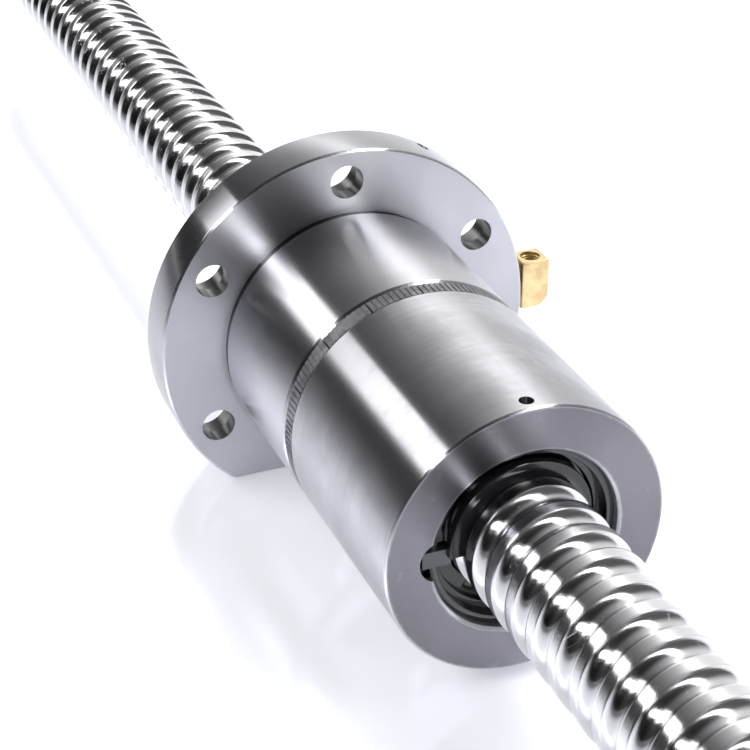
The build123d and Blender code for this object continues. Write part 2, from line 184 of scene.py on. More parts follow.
def round_corners(profile: Profile, radius: float, steps: int = 3) -> List[Pair]:
    """Round every corner of a closed profile a little.

    Args:
        profile: Corners as (x, radius).
        radius: Length cut from each side of a corner.
        steps: Number of straight pieces in each round.

    Returns:
        The profile with its corners rounded.
    """
    rounded: List[Pair] = []
    count = len(profile)
    for k in range(count):
        corner = Vector(profile[k])
        before = Vector(profile[k - 1]) - corner
        after = Vector(profile[(k + 1) % count]) - corner
        reach = min(radius, before.length * LARGEST_SHARE, after.length * LARGEST_SHARE)
        if corner.y == 0:
            rounded.append((corner.x, corner.y))
            continue
        first = corner + before.normalized() * reach
        last = corner + after.normalized() * reach
        for step in range(steps + 1):
            t = step / steps
            point = first * (1 - t) ** 2 + corner * 2 * t * (1 - t) + last * t**2
            rounded.append((point.x, point.y))
    return rounded


def rod(start: Point, end: Point, radius: float, sides: int) -> Mesh:
    """Make a straight round rod between two points.

    Its corners are turned a little, so that none falls on a corner of a lathe's mesh.

    Args:
        start: Centre of one end.
        end: Centre of the other end.
        radius: Radius of the rod.
        sides: Number of flats round it.

    Returns:
        The closed mesh.
    """
    base, tip = Vector(start), Vector(end)
    turn = (tip - base).to_track_quat("Z", "Y")
    points: List[Point] = []
    for centre in (base, tip):
        for k in range(sides):
            angle = TURN * (k + FLAT_OFFSET) / sides
            offset = turn @ Vector((radius * math.cos(angle), radius * math.sin(angle), 0))
            points.append(tuple(centre + offset))
    faces: List[Sequence[int]] = [tuple(range(sides)), tuple(range(sides, 2 * sides))]
    for k in range(sides):
        m = (k + 1) % sides
        faces.append((k, m, sides + m, sides + k))
    return mesh_from("rod", points, faces)


def block(low: Point, high: Point, turn: Optional[Matrix] = None) -> Mesh:
    """Make a plain block, to cut with or to bevel.

    Args:
        low: Lowest corner.
        high: Highest corner.
        turn: Placement of the block, or None to leave it where it is.

    Returns:
        The closed mesh.
    """
    points = []
    for x in (low[0], high[0]):
        for y in (low[1], high[1]):
            for z in (low[2], high[2]):
                corner = Vector((x, y, z))
                points.append(tuple(turn @ corner if turn else corner))
    faces = [(0, 1, 3, 2), (4, 6, 7, 5), (0, 4, 5, 1), (2, 3, 7, 6), (0, 2, 6, 4), (1, 5, 7, 3)]
    return mesh_from("block", points, faces)


def about_axis(angle: float, x: float) -> Matrix:
    """Placement at x that turns +Z to an angle in degrees from +Y towards +Z."""
    return Matrix.Translation((x, 0, 0)) @ Matrix.Rotation(math.radians(angle - 90), 4, "X")


def radial(x: float, angle: float, inner: float, outer: float, radius: float) -> Mesh:
    """Make a round rod that points away from the axis.

    Args:
        x: Station along the axis.
        angle: Degrees from +Y towards +Z.
        inner: Distance of its foot from the axis.
        outer: Distance of its tip from the axis.
        radius: Radius of the rod.

    Returns:
        The closed mesh.
    """
    y, z = math.cos(math.radians(angle)), math.sin(math.radians(angle))
    return rod((x, y * inner, z * inner), (x, y * outer, z * outer), radius, PIN_SIDES)


def baked(piece: bpy.types.Object) -> Mesh:
    """Return the mesh of an object with its modifiers applied, and remove the object.

    Args:
        piece: The object.

    Returns:
        The plain mesh.
    """
    bpy.context.view_layer.update()
    graph = bpy.context.evaluated_depsgraph_get()
    mesh = bpy.data.meshes.new_from_object(piece.evaluated_get(graph))
    bpy.data.objects.remove(piece)
    return mesh


def joined(meshes: Sequence[Mesh], name: str) -> Mesh:
    """Put several meshes into one.

    Args:
        meshes: The meshes.
        name: Name of the result.

    Returns:
        One mesh with all their faces.
    """
    work = bmesh.new()
    for mesh in meshes:
        work.from_mesh(mesh)
    result = bpy.data.meshes.new(name)
    work.to_mesh(result)
    work.free()
    return result


def boolean(
    mesh: Mesh, others: Sequence[Mesh], operation: str = "DIFFERENCE"
) -> Mesh:
    """Cut meshes out of a mesh, or add them to it, one after the other.

    Args:
        mesh: The solid to change.
        others: The solids to cut out or add.
        operation: DIFFERENCE or UNION.

    Returns:
        The changed mesh.
    """
    target = new_object("work", mesh)
    tools = [new_object("tool", other) for other in others]
    for tool in tools:
        step = target.modifiers.new("step", "BOOLEAN")
        step.operation = operation
        step.solver = "EXACT"
        step.object = tool
    result = baked(target)
    for tool in tools:
        bpy.data.objects.remove(tool)
    return result


def bevelled(mesh: Mesh, width: float, segments: int = 2) -> Mesh:
    """Break the sharp edges of a mesh by a bevel of a width in millimetres.

    Args:
        mesh: Mesh in metres.
        width: Width of the bevel in millimetres.
        segments: Number of faces across it.

    Returns:
        The bevelled mesh.
    """
    target = new_object("work", mesh)
    step = target.modifiers.new("bevel", "BEVEL")
    step.width = width * MM
    step.segments = segments
    step.limit_method = "ANGLE"
    step.angle_limit = math.radians(BEVEL_ANGLE)
    return baked(target)


def sweep(
    name: str, path: Sequence[Vector], section: Callable[[int], Sequence[Vector]]
) -> Mesh:
    """Join a row of equal sections into a solid bar.

    Args:
        name: Name of the mesh.
        path: One entry for each section.
        section: Gives the corners of a section from its number.

    Returns:
        The closed mesh.
    """
    rows = [[tuple(corner) for corner in section(k)] for k in range(len(path))]
    sides, last = len(rows[0]), len(rows) - 1
    faces: List[Sequence[int]] = []
    for k in range(last):
        for m in range(sides):
            n = (m + 1) % sides
            faces.append((k * sides + m, k * sides + n, (k + 1) * sides + n, (k + 1) * sides + m))
    faces.append(tuple(range(sides)))
    faces.append(tuple(range(last * sides, (last + 1) * sides)))
    return mesh_from(name, [corner for row in rows for corner in row], faces)


def tube_mesh(name: str, path: Sequence[Vector], radius: float, sides: int = 32) -> Mesh:
    """Sweep a circle along a path without twisting it.

    Args:
        name: Name of the mesh.
        path: Centres in millimetres.
        radius: Radius of the tube.
        sides: Number of flats round it.

    Returns:
        A closed bar.
    """
    frames: List[Tuple[Vector, Vector]] = []
    side = Vector((1, 0, 0))
    for k in range(len(path)):
        ahead = path[min(k + 1, len(path) - 1)] - path[max(k - 1, 0)]
        ahead.normalize()
        side = (side - ahead * side.dot(ahead)).normalized()
        frames.append((side.copy(), ahead.cross(side)))

    def ring(k: int) -> List[Vector]:
        """Corners of one circle.

        Args:
            k: Number of the section.

        Returns:
            The corners.
        """
        a, b = frames[k]
        turns = [TURN * m / sides for m in range(sides)]
        return [path[k] + a * radius * math.cos(t) + b * radius * math.sin(t) for t in turns]

    return sweep(name, path, ring)


def show(
    name: str,
    mesh: Mesh,
    material: Material,
    body: Body,
    replaces: Sequence[str],
    angle: float = SHARP_ANGLE,
) -> bpy.types.Object:
    """Finish a piece and hand it to the frame.

    Args:
        name: Name of the piece.
        mesh: Its mesh in metres.
        material: Its material.
        body: The body that it moves with.
        replaces: CAD nodes that it stands for.
        angle: Edges sharper than this many degrees stay sharp.

    Returns:
        The piece.
    """
    mesh.polygons.foreach_set("use_smooth", [True] * len(mesh.polygons))
    mesh.set_sharp_from_angle(angle=math.radians(angle))
    mesh.update()
    mesh.materials.clear()
    mesh.materials.append(material)
    piece = new_object(name, mesh)
    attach(piece, body.value)
    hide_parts(*replaces)
    LOG.info("%s: %d faces", name, len(mesh.polygons))
    return piece


# Node helpers

SOCKETS = {float: "NodeSocketFloat", int: "NodeSocketInt", type(None): "NodeSocketMaterial"}


def reckoner(operation: str) -> Callable:
    """Make a method that reckons with signals by a Math node.

    Args:
        operation: The Math node's operation.

    Returns:
        The method.
    """

    def apply(self: "Signal", *others: Value) -> "Signal":
        """Reckon with this signal and the others."""
        return self.nodes.math(operation, self, *others)

    return apply


class Signal:
    """Output of a node, with which a tree can reckon."""

    __add__ = reckoner("ADD")
    __sub__ = reckoner("SUBTRACT")
    __mul__ = reckoner("MULTIPLY")
    __truediv__ = reckoner("DIVIDE")
    __gt__ = reckoner("GREATER_THAN")
    __lt__ = reckoner("LESS_THAN")
    __abs__ = reckoner("ABSOLUTE")
    at_least = reckoner("MAXIMUM")
    at_most = reckoner("MINIMUM")
    root = reckoner("SQRT")
    power = reckoner("POWER")
    sign = reckoner("SIGN")
    floor = reckoner("FLOOR")
    ceil = reckoner("CEIL")
    wrap = reckoner("WRAP")
    sin = reckoner("SINE")
    cos = reckoner("COSINE")
    arccos = reckoner("ARCCOSINE")
    arctan2 = reckoner("ARCTAN2")

    def __init__(self, nodes: "Nodes", socket: bpy.types.NodeSocket) -> None:
        """Keep the writer and the socket."""
        self.nodes = nodes
        self.socket = socket


class Nodes:
    """Writes nodes into a shader, world or geometry tree."""

    def __init__(self, tree: Tree) -> None:
        """Keep the tree."""
        self.tree = tree

    def put(self, socket: bpy.types.NodeSocket, value: object) -> None:
        """Give an input a value, or link a signal to it.

        Args:
            socket: The input.
            value: A plain value or a signal.
        """
        if isinstance(value, Signal):
            self.tree.links.new(value.socket, socket)
        else:
            socket.default_value = value

    def node(self, kind: str, inputs: Optional[Dict] = None, **settings: object) -> bpy.types.Node:
        """Add a node.

        Args:
            kind: Type name of the node.
            inputs: Values or signals for its inputs, by name or number.
            settings: Properties of the node.

        Returns:
            The node.
        """
        node = self.tree.nodes.new(kind)
        for key, value in settings.items():
            setattr(node, key, value)
        for key, value in (inputs or {}).items():
            self.put(node.inputs[key], value)
        return node

    def add(
        self, kind: str, inputs: Optional[Dict] = None, output: Union[int, str] = 0, **settings: object
    ) -> Signal:
        """Add a node and return one of its outputs, by name or number."""
        return Signal(self, self.node(kind, inputs, **settings).outputs[output])

    def every(
        self, kind: str, inputs: Optional[Dict] = None, **settings: object
    ) -> Dict[str, Signal]:
        """Add a node and return all its outputs by name."""
        outputs = self.node(kind, inputs, **settings).outputs
        return {socket.name: Signal(self, socket) for socket in outputs}

    def group(self, tree: Tree, **inputs: Value) -> Dict[str, Signal]:
        """Place a shader group with its own values and return its outputs by name."""
        given = {key.replace("_", " "): value for key, value in inputs.items()}
        return self.every("ShaderNodeGroup", given, node_tree=tree)

    def math(self, operation: str, *values: Value) -> Signal:
        """Add a Math node."""
        return self.add("ShaderNodeMath", dict(enumerate(values)), operation=operation)

    def vector(self, *parts: Value) -> Signal:
        """Join up to three numbers into a vector."""
        return self.add("ShaderNodeCombineXYZ", dict(enumerate(parts)))

    def split(self, vector: Signal) -> List[Signal]:
        """Take a vector apart into x, y and z."""
        return list(self.every("ShaderNodeSeparateXYZ", {0: vector}).values())

    def coordinate(self, kind: str = "Object") -> Signal:
        """Return one of the texture coordinates."""
        return self.add("ShaderNodeTexCoord", output=kind)

    def noise(self, vector: Signal, scale: Value, detail: float, **more: float) -> Signal:
        """Add a noise texture of a scale and detail."""
        inputs = {"Vector": vector, "Scale": scale, "Detail": detail, **more}
        return self.add("ShaderNodeTexNoise", inputs, "Fac")

    def spread(
        self,
        value: Signal,
        low: float = 0.0,
        high: float = 1.0,
        start: Value = 0.0,
        end: Value = 1.0,
        **settings: str,
    ) -> Signal:
        """Map a value so that its start becomes low and its end becomes high."""
        inputs = {"Value": value, "From Min": start, "From Max": end, "To Min": low, "To Max": high}
        return self.add("ShaderNodeMapRange", inputs, **settings)

    def mix(self, mask: Signal, low: Value, high: Value) -> Signal:
        """Mix two numbers by a mask."""
        return self.add("ShaderNodeMix", {0: mask, 2: low, 3: high}, data_type="FLOAT")

    def blend(self, mask: Signal, low: Union[Signal, Colour], high: Colour) -> Signal:
        """Mix a colour or a signal with a colour by a mask."""
        low = low if isinstance(low, Signal) else (*low, 1)
        return self.add("ShaderNodeMix", {0: mask, 6: low, 7: (*high, 1)}, 2, data_type="RGBA")

    def bump(self, height: Signal, size: Pair) -> Signal:
        """Turn a height into a normal by a strength and a distance in millimetres."""
        inputs = {"Height": height, "Strength": size[0], "Distance": size[1] * MM}
        return self.add("ShaderNodeBump", inputs)

    def close(self, result: bpy.types.Node, geometry: Signal, material: Signal) -> None:
        """Realize a geometry, set its material and send it to the group's output.

        Args:
            result: The group's output node.
            geometry: The geometry.
            material: The material.
        """
        real = self.add("GeometryNodeRealizeInstances", {"Geometry": geometry})
        dressed = self.add("GeometryNodeSetMaterial", {"Geometry": real, "Material": material})
        self.put(result.inputs[0], dressed)


def fresh(owner: Union[Material, bpy.types.World]) -> Nodes:
    """Empty the nodes of a material or a world.

    Args:
        owner: The material or world.

    Returns:
        The writer of its nodes.
    """
    owner.use_nodes = True
    owner.node_tree.nodes.clear()
    return Nodes(owner.node_tree)


def start_group(name: str, inputs: Dict[str, object], outputs: Sequence[str] = ()) -> Tuple:
    """Start a shader group, or a geometry tree if no outputs are named.

    Args:
        name: Name of the group.
        inputs: Named inputs with their usual values, None for a material.
        outputs: Names of a shader group's number outputs.

    Returns:
        The tree, its writer, its inputs by name and its output node.
    """
    tree = bpy.data.node_groups.new(name, "ShaderNodeTree" if outputs else "GeometryNodeTree")
    socket = tree.interface.new_socket
    if not outputs:
        socket("Geometry", in_out="INPUT", socket_type="NodeSocketGeometry")
        socket("Geometry", in_out="OUTPUT", socket_type="NodeSocketGeometry")
    for key, value in inputs.items():
        made = socket(key, in_out="INPUT", socket_type=SOCKETS[type(value)])
        if value is not None:
            made.default_value = value
    for key in outputs:
        socket(key, in_out="OUTPUT", socket_type="NodeSocketFloat")
    nodes = Nodes(tree)
    return tree, nodes, nodes.every("NodeGroupInput"), nodes.node("NodeGroupOutput")


def grown(base: bpy.types.ID, tree: Tree, values: Dict[str, object]) -> Mesh:
    """Run a Geometry Nodes tree on a mesh or curve and return the plain mesh.

    Args:
        base: Mesh or curve that the tree starts from.
        tree: The tree.
        values: Values of its named inputs.

    Returns:
        The mesh that the tree makes.
    """
    carrier = new_object("carrier", base)
    step = carrier.modifiers.new("grow", "NODES")
    step.node_group = tree
    for item in tree.interface.items_tree:
        if item.in_out == "INPUT" and item.name in values:
            step[item.identifier] = values[item.name]
    return baked(carrier)


def empty_mesh() -> Mesh:
    """Mesh with nothing in it, for trees that start from nothing."""
    return bpy.data.meshes.new("empty")


# Finishes


class Effects:
    """Shader groups that several finishes share."""

    def __init__(self) -> None:
        """Build every group once."""
        self.turning = self.build_turning()
        self.track = self.build_track()
        self.blotches = self.build_blotches()
        self.scratches = self.build_scratches()
        self.rim = self.build_rim()

    @staticmethod
    def place(nodes: Nodes) -> Tuple[Signal, ...]:
        """Return x, y, z, the distance from the axis and the object vector.

        Args:
            nodes: The writer.

        Returns:
            The five signals.
        """
        vector = nodes.coordinate()
        x, y, z = nodes.split(vector)
        return x, y, z, (y * y + z * z).root(), vector

    def build_turning(self) -> Tree:
        """Fine lines left by turning and grinding, round the axis.

        Returns:
            The tree.
        """
        scales = {"Fine": 9000.0, "Coarse": 900.0}
        tree, nodes, given, result = start_group("turning lines", scales, ["Lines", "Bands"])
        x, y, z, r, _ = self.place(nodes)
        slant = 0.02 * MM
        drift = z.arctan2(y).sin() * slant
        for key, name in (("Fine", "Lines"), ("Coarse", "Bands")):
            vector = nodes.vector((x + drift) * given[key], r * given[key])
            nodes.put(result.inputs[name], nodes.noise(vector, 1.0, 2.0))
        return tree

    def build_track(self) -> Tree:
        """Grinding lines that follow the helix, and the depth in the track.

        Returns:
            The tree.
        """
        sizes = {
            "Lead": 0.012, "Start": 0.0044, "Fine": 30.0, "Across": 4000.0, "Root": 0.0167, "Crest": 0.0195,
        }
        tree, nodes, given, result = start_group("track lines", sizes, ["Lines", "Depth"])
        x, y, z, r, _ = self.place(nodes)
        phase = ((x - given["Start"]) / given["Lead"] - z.arctan2(y) / TURN) * TURN
        reach = given["Fine"]
        vector = nodes.vector(phase.cos() * reach, phase.sin() * reach, r * given["Across"])
        nodes.put(result.inputs["Lines"], nodes.noise(vector, 1.0, 3.0))
        depth = (given["Crest"] - r) / (given["Crest"] - given["Root"])
        nodes.put(result.inputs["Depth"], depth.at_least(0.0).at_most(1.0))
        return tree

    def build_blotches(self) -> Tree:
        """Soft uneven patches, as from handling and a thin oil film.

        Returns:
            The tree.
        """
        limits = {"Scale": 60.0, "Low": 0.35, "High": 0.65}
        tree, nodes, given, result = start_group("blotches", limits, ["Mask"])
        noise = nodes.noise(nodes.coordinate(), given["Scale"], 5.0, Roughness=0.6)
        ends = {"start": given["Low"], "end": given["High"]}
        nodes.put(result.inputs["Mask"], nodes.spread(noise, **ends, interpolation_type="SMOOTHSTEP"))
        return tree

    def build_scratches(self) -> Tree:
        """Thin stray scratches in two directions.

        Returns:
            The tree.
        """
        sizes = {"Scale": 220.0, "Width": 0.02, "Level": 0.62, "Gate": 0.58, "Gate Scale": 45.0}
        tree, nodes, given, result = start_group("scratches", sizes, ["Mask"])
        vector = nodes.coordinate()
        masks = []
        for turn, stretch in (((0.3, 0.9, 0.2), (1.0, 0.08, 0.3)), ((1.1, 0.2, 0.8), (0.1, 1.0, 0.4))):
            placement = {"Vector": vector, "Rotation": turn, "Scale": stretch}
            mapped = nodes.add("ShaderNodeMapping", placement)
            noise = nodes.noise(mapped, given["Scale"], 2.0, Distortion=0.4)
            masks.append(abs(noise - given["Level"]) < given["Width"])
        gate = nodes.noise(vector, given["Gate Scale"], 1.0) > given["Gate"]
        nodes.put(result.inputs["Mask"], masks[0].at_least(masks[1]) * gate)
        return tree

    def build_rim(self) -> Tree:
        """Bright broken wear along a turned edge.

        Returns:
            The tree.
        """
        sizes = {"Edge X": 0.0, "Edge Radius": 0.042, "Width": 0.0008, "Scale": 400.0}
        tree, nodes, given, result = start_group("edge wear", sizes, ["Mask"])
        x, _, _, r, vector = self.place(nodes)
        dx, dr = x - given["Edge X"], r - given["Edge Radius"]
        far = (dx * dx + dr * dr).root()
        reach = given["Width"] * (nodes.noise(vector, given["Scale"], 3.0) + 0.5)
        nodes.put(result.inputs["Mask"], nodes.spread(far, start=reach, end=0.0))
        return tree


def toned(colour: Colour, share: float) -> Colour:
    """Return a colour with every part times a share, up to 1."""
    return tuple(min(1.0, part * share) for part in colour)


class Finish:
    """A material with one Principled shader."""

    name: str

    def shade(self, nodes: Nodes, effects: Effects) -> Dict[str, object]:
        """Build the nodes that feed the shader.

        Args:
            nodes: The material's writer.
            effects: The shared shader groups.

        Returns:
            A value or signal for each of the shader's inputs that it sets.
        """
        raise NotImplementedError

    def make(self, effects: Effects) -> Material:
        """Build the material from the shared shader groups.

        Args:
            effects: The shared shader groups.

        Returns:
            The material.
        """
        material = bpy.data.materials.new(self.name)
        nodes = fresh(material)
        shader = nodes.add("ShaderNodeBsdfPrincipled", self.shade(nodes, effects))
        nodes.node("ShaderNodeOutputMaterial", {"Surface": shader})
        return material


@dataclass(frozen=True)
class GroundSteel(Finish):
    """Ground and polished nut steel with turned faces.

    A stain or band is a share of the face's tone and how strongly it shows. The two
    limits of facing are for the normal's part along the axis, on a face and on a wall.
    An edge is x, radius and the width of its wear, and a bump a strength and a depth.
    """

    name: str = "ground steel"
    side: Colour = (0.62, 0.62, 0.65)
    face: Colour = (0.60, 0.60, 0.64)
    # The flange's outer rim is painted darker than the sides: a painted shade.
    rim: Colour = (0.37, 0.37, 0.39)
    drilled: Colour = (0.2, 0.2, 0.19)
    # Near black on the floor of the undercut groove by the flange: a painted shade in the groove.
    groove: Colour = (0.05, 0.05, 0.05)
    worn: Colour = (0.86, 0.86, 0.88)
    scratched: Colour = (0.85, 0.85, 0.87)
    stain: Pair = (0.84, 0.25)
    band: Pair = (0.9, 0.2)
    worn_share: float = 0.5
    scratch_share: float = 0.05
    scratch_depth: float = -0.2
    patch_rough: Pair = (-0.015, 0.02)
    band_rough: Pair = (-0.02, 0.02)
    side_rough: float = 0.23
    face_rough: float = 0.32
    rim_rough: float = 0.12
    stretch: float = 1.0
    patch_scale: float = 38.0
    facing: Pair = (0.8, 0.5)
    flange_reach: Pair = (42.3, 61.5)
    undercut_radii: Pair = (41.0, 41.75)
    undercut_ends: Pair = (0.0, 2.75)
    bump: Pair = (0.08, 0.01)
    edges: Tuple[Tuple[float, float, float], ...] = (
        (0.0, 62.5, 1.2), (-17.0, 62.5, 1.0), (54.0, 41.8, 1.1), (60.0, 41.8, 1.0),
        (132.0, 41.8, 1.0), (132.0, 28.4, 0.9), (2.8, 42.0, 0.7),
    )

    @staticmethod
    def inside(value: Signal, limits: Pair) -> Signal:
        """Mask of where a length lies between two limits in millimetres."""
        return (value > limits[0] * MM) * (value < limits[1] * MM)

    def wear(self, nodes: Nodes, effects: Effects) -> Signal:
        """Mask of the wear along the turned edges.

        Args:
            nodes: The writer.
            effects: The shared shader groups.

        Returns:
            The mask.
        """
        worn = None
        for x, radius, width in self.edges:
            sizes = {"Edge_X": x * MM, "Edge_Radius": radius * MM, "Width": width * MM}
            mask = nodes.group(effects.rim, **sizes)["Mask"]
            worn = mask if worn is None else worn.at_least(mask)
        return worn

    def shade(self, nodes: Nodes, effects: Effects) -> Dict[str, object]:
        """Build the nodes that feed the shader.

        Args:
            nodes: The writer.
            effects: The shared shader groups.

        Returns:
            The shader's inputs that it sets.
        """
        along = abs(nodes.split(nodes.coordinate("Normal"))[0])
        faces, upright = along > self.facing[0], along < self.facing[1]
        x, y, z, r, _ = effects.place(nodes)
        walls = upright * self.inside(r, self.flange_reach)
        # Painted shade: the flange's outer rim takes the darker rim tone.
        outermost = upright * (r > self.flange_reach[1] * MM)
        # Painted shade: the undercut groove's floor takes the near black groove tone.
        painted_groove_shade = self.inside(r, self.undercut_radii) * self.inside(x, self.undercut_ends)
        turning = nodes.group(effects.turning)
        patches = nodes.group(effects.blotches, Scale=self.patch_scale)["Mask"]
        marks = nodes.group(effects.scratches)["Mask"]
        tone = nodes.blend(faces, self.side, self.face)
        for mask, colour in (
            (walls, self.drilled),
            (outermost, self.rim),
            (painted_groove_shade, self.groove),
            (patches * self.stain[1], toned(self.face, self.stain[0])),
            (nodes.spread(turning["Bands"], 0.0, self.band[1]), toned(self.face, self.band[0])),
            (self.wear(nodes, effects) * self.worn_share, self.worn),
            (marks * self.scratch_share, self.scratched),
        ):
            tone = nodes.blend(mask, tone, colour)
        rough = nodes.spread(faces.at_least(walls), self.side_rough, self.face_rough)
        rough = rough - outermost * (self.side_rough - self.rim_rough)
        rough = rough + nodes.spread(patches, *self.patch_rough)
        height = turning["Lines"] + marks * self.scratch_depth
        return {
            "Base Color": tone,
            "Metallic": 1.0,
            "Roughness": rough + nodes.spread(turning["Bands"], *self.band_rough),
            "Normal": nodes.bump(height, self.bump),
            "Anisotropic": self.stretch,
            "Tangent": nodes.vector(1.0, y / r * -1.0, z / r * -1.0),
        }


@dataclass(frozen=True)
class TrackSteel(Finish):
    """Hardened and ground screw steel, bright with lines along the track."""

    name: str = "track steel"
    # Crest and root tones: the track is painted darker towards its root, a painted shade in the groove.
    crest: Colour = (0.78, 0.78, 0.80)
    root: Colour = (0.64, 0.64, 0.66)
    film: Colour = (0.50, 0.46, 0.40)
    rough: Pair = (0.05, 0.15)
    patch_scale: float = 90.0
    scratches: Pair = (300.0, 0.012)
    scratch_depth: float = -0.5
    film_share: float = 0.1
    patch_rough: Pair = (0.0, 0.05)
    bump: Pair = (0.4, 0.04)

    def shade(self, nodes: Nodes, effects: Effects) -> Dict[str, object]:
        """Build the nodes that feed the shader.

        Args:
            nodes: The writer.
            effects: The shared shader groups.

        Returns:
            The shader's inputs that it sets.
        """
        track = nodes.group(effects.track)
        patches = nodes.group(effects.blotches, Scale=self.patch_scale)["Mask"]
        scale, width = self.scratches
        marks = nodes.group(effects.scratches, Scale=scale, Width=width)["Mask"]
        # Painted shade: darker from the crest down to the track's root, by depth.
        tone = nodes.blend(track["Depth"], self.crest, self.root)
        lines = nodes.spread(track["Lines"], *self.rough)
        height = track["Lines"] + marks * self.scratch_depth
        return {
            "Base Color": nodes.blend(patches * self.film_share, tone, self.film),
            "Metallic": 1.0,
            "Roughness": lines + nodes.spread(patches, *self.patch_rough),
            "Normal": nodes.bump(height, self.bump),
        }


@dataclass(frozen=True)
class PlainMetal(Finish):
    """Other metal parts, with blotches and fine scratches."""

    name: str
    colour: Colour
    dull: Colour
    rough: float
    scale: float = 160.0
    bump: float = 0.15
    scratch_scale: float = 500.0
    scratch_share: float = 0.4
    scratch_tone: float = 1.3
    patch_rough: float = 0.12
    grain: float = 20.0
    grain_depth: float = 0.04

    def shade(self, nodes: Nodes, effects: Effects) -> Dict[str, object]:
        """Build the nodes that feed the shader.

        Args:
            nodes: The writer.
            effects: The shared shader groups.

        Returns:
            The shader's inputs that it sets.
        """
        patches = nodes.group(effects.blotches, Scale=self.scale)["Mask"]
        marks = nodes.group(effects.scratches, Scale=self.scratch_scale)["Mask"]
        tone = nodes.blend(patches, self.colour, self.dull)
        bright = toned(self.colour, self.scratch_tone)
        grain = nodes.noise(nodes.coordinate(), self.scale * self.grain, 3.0)
        return {
            "Base Color": nodes.blend(marks * self.scratch_share, tone, bright),
            "Metallic": 1.0,
            "Roughness": nodes.spread(patches, self.rough, self.rough + self.patch_rough),
            "Normal": nodes.bump(grain, (self.bump, self.grain_depth)),
        }


@dataclass(frozen=True)
class WiperPlastic(Finish):
    """Black moulded plastic with a slight oily sheen."""

    name: str = "wiper plastic"
    colour: Colour = (0.010, 0.010, 0.012)
    worn: Colour = (0.015, 0.015, 0.017)
    rough: Pair = (0.1, 0.14)
    patch_scale: float = 130.0
    line_scale: float = 5000.0
    ior: float = 1.6
    bump: Pair = (0.05, 0.02)

    def shade(self, nodes: Nodes, effects: Effects) -> Dict[str, object]:
        """Build the nodes that feed the shader.

        Args:
            nodes: The writer.
            effects: The shared shader groups.

        Returns:
            The shader's inputs that it sets.
        """
        patches = nodes.group(effects.blotches, Scale=self.patch_scale)["Mask"]
        lines = nodes.group(effects.turning, Fine=self.line_scale)["Lines"]
        return {
            "Base Color": nodes.blend(patches, self.colour, self.worn),
            "Roughness": nodes.spread(patches, *self.rough),
            "IOR": self.ior,
            "Normal": nodes.bump(lines, self.bump),
        }


class Finishes:
    """All materials of the part."""

    def __init__(self, effects: Effects) -> None:
        """Build each finish once.

        Args:
            effects: The shared shader groups.
        """

        def metal(*look: object, **more: float) -> Material:
            """Make a plain metal from its name, two colours and roughness."""
            return PlainMetal(*look, **more).make(effects)

        self.ground = GroundSteel().make(effects)
        # The plain nut's steel: its end faces are painted far darker than the flanged nut's, a painted
        # shade on faces that catch little light.
        self.matt_floor_and_painted_face_shade = GroundSteel("matt ground steel", face=(0.245, 0.238, 0.262)).make(effects)
        self.track = TrackSteel().make(effects)
        self.journal = metal("journal steel", (0.6, 0.6, 0.62), (0.5, 0.5, 0.52), 0.2)
        self.dark = metal("spacer steel", (0.36, 0.36, 0.38), (0.22, 0.22, 0.235), 0.48)
        self.spring = metal("spring wire", (0.5, 0.5, 0.5), (0.4, 0.4, 0.4), 0.25)
        self.tube = metal("tube steel", (0.62, 0.62, 0.63), (0.5, 0.5, 0.52), 0.26)
        self.ball = metal("ball steel", (0.78, 0.78, 0.8), (0.72, 0.72, 0.74), 0.06, bump=0.02)
        self.black = metal("blackened steel", (0.07, 0.07, 0.075), (0.04, 0.04, 0.04), 0.35)
        self.brass = metal("brass", (0.86, 0.68, 0.38), (0.72, 0.54, 0.28), 0.3, scale=220.0, bump=0.3)
        self.plastic = WiperPlastic().make(effects)


# Sub-assemblies


@dataclass
class BallTrack:
    """Shared sizes of the ball track."""

    lead: float = 12.0
    circle: float = 20.5
    ball: float = 3.572
    groove: float = 3.872
    start: float = 4.4

    def angle(self, x: float) -> float:
        """Angle of the helix at a station along the axis."""
        return TURN * (x - self.start) / self.lead

    def centre(self, x: float) -> Vector:
        """Point of the ball circle's helix at a station along the axis."""
        turn = self.angle(x)
        return Vector((x, self.circle * math.cos(turn), self.circle * math.sin(turn)))


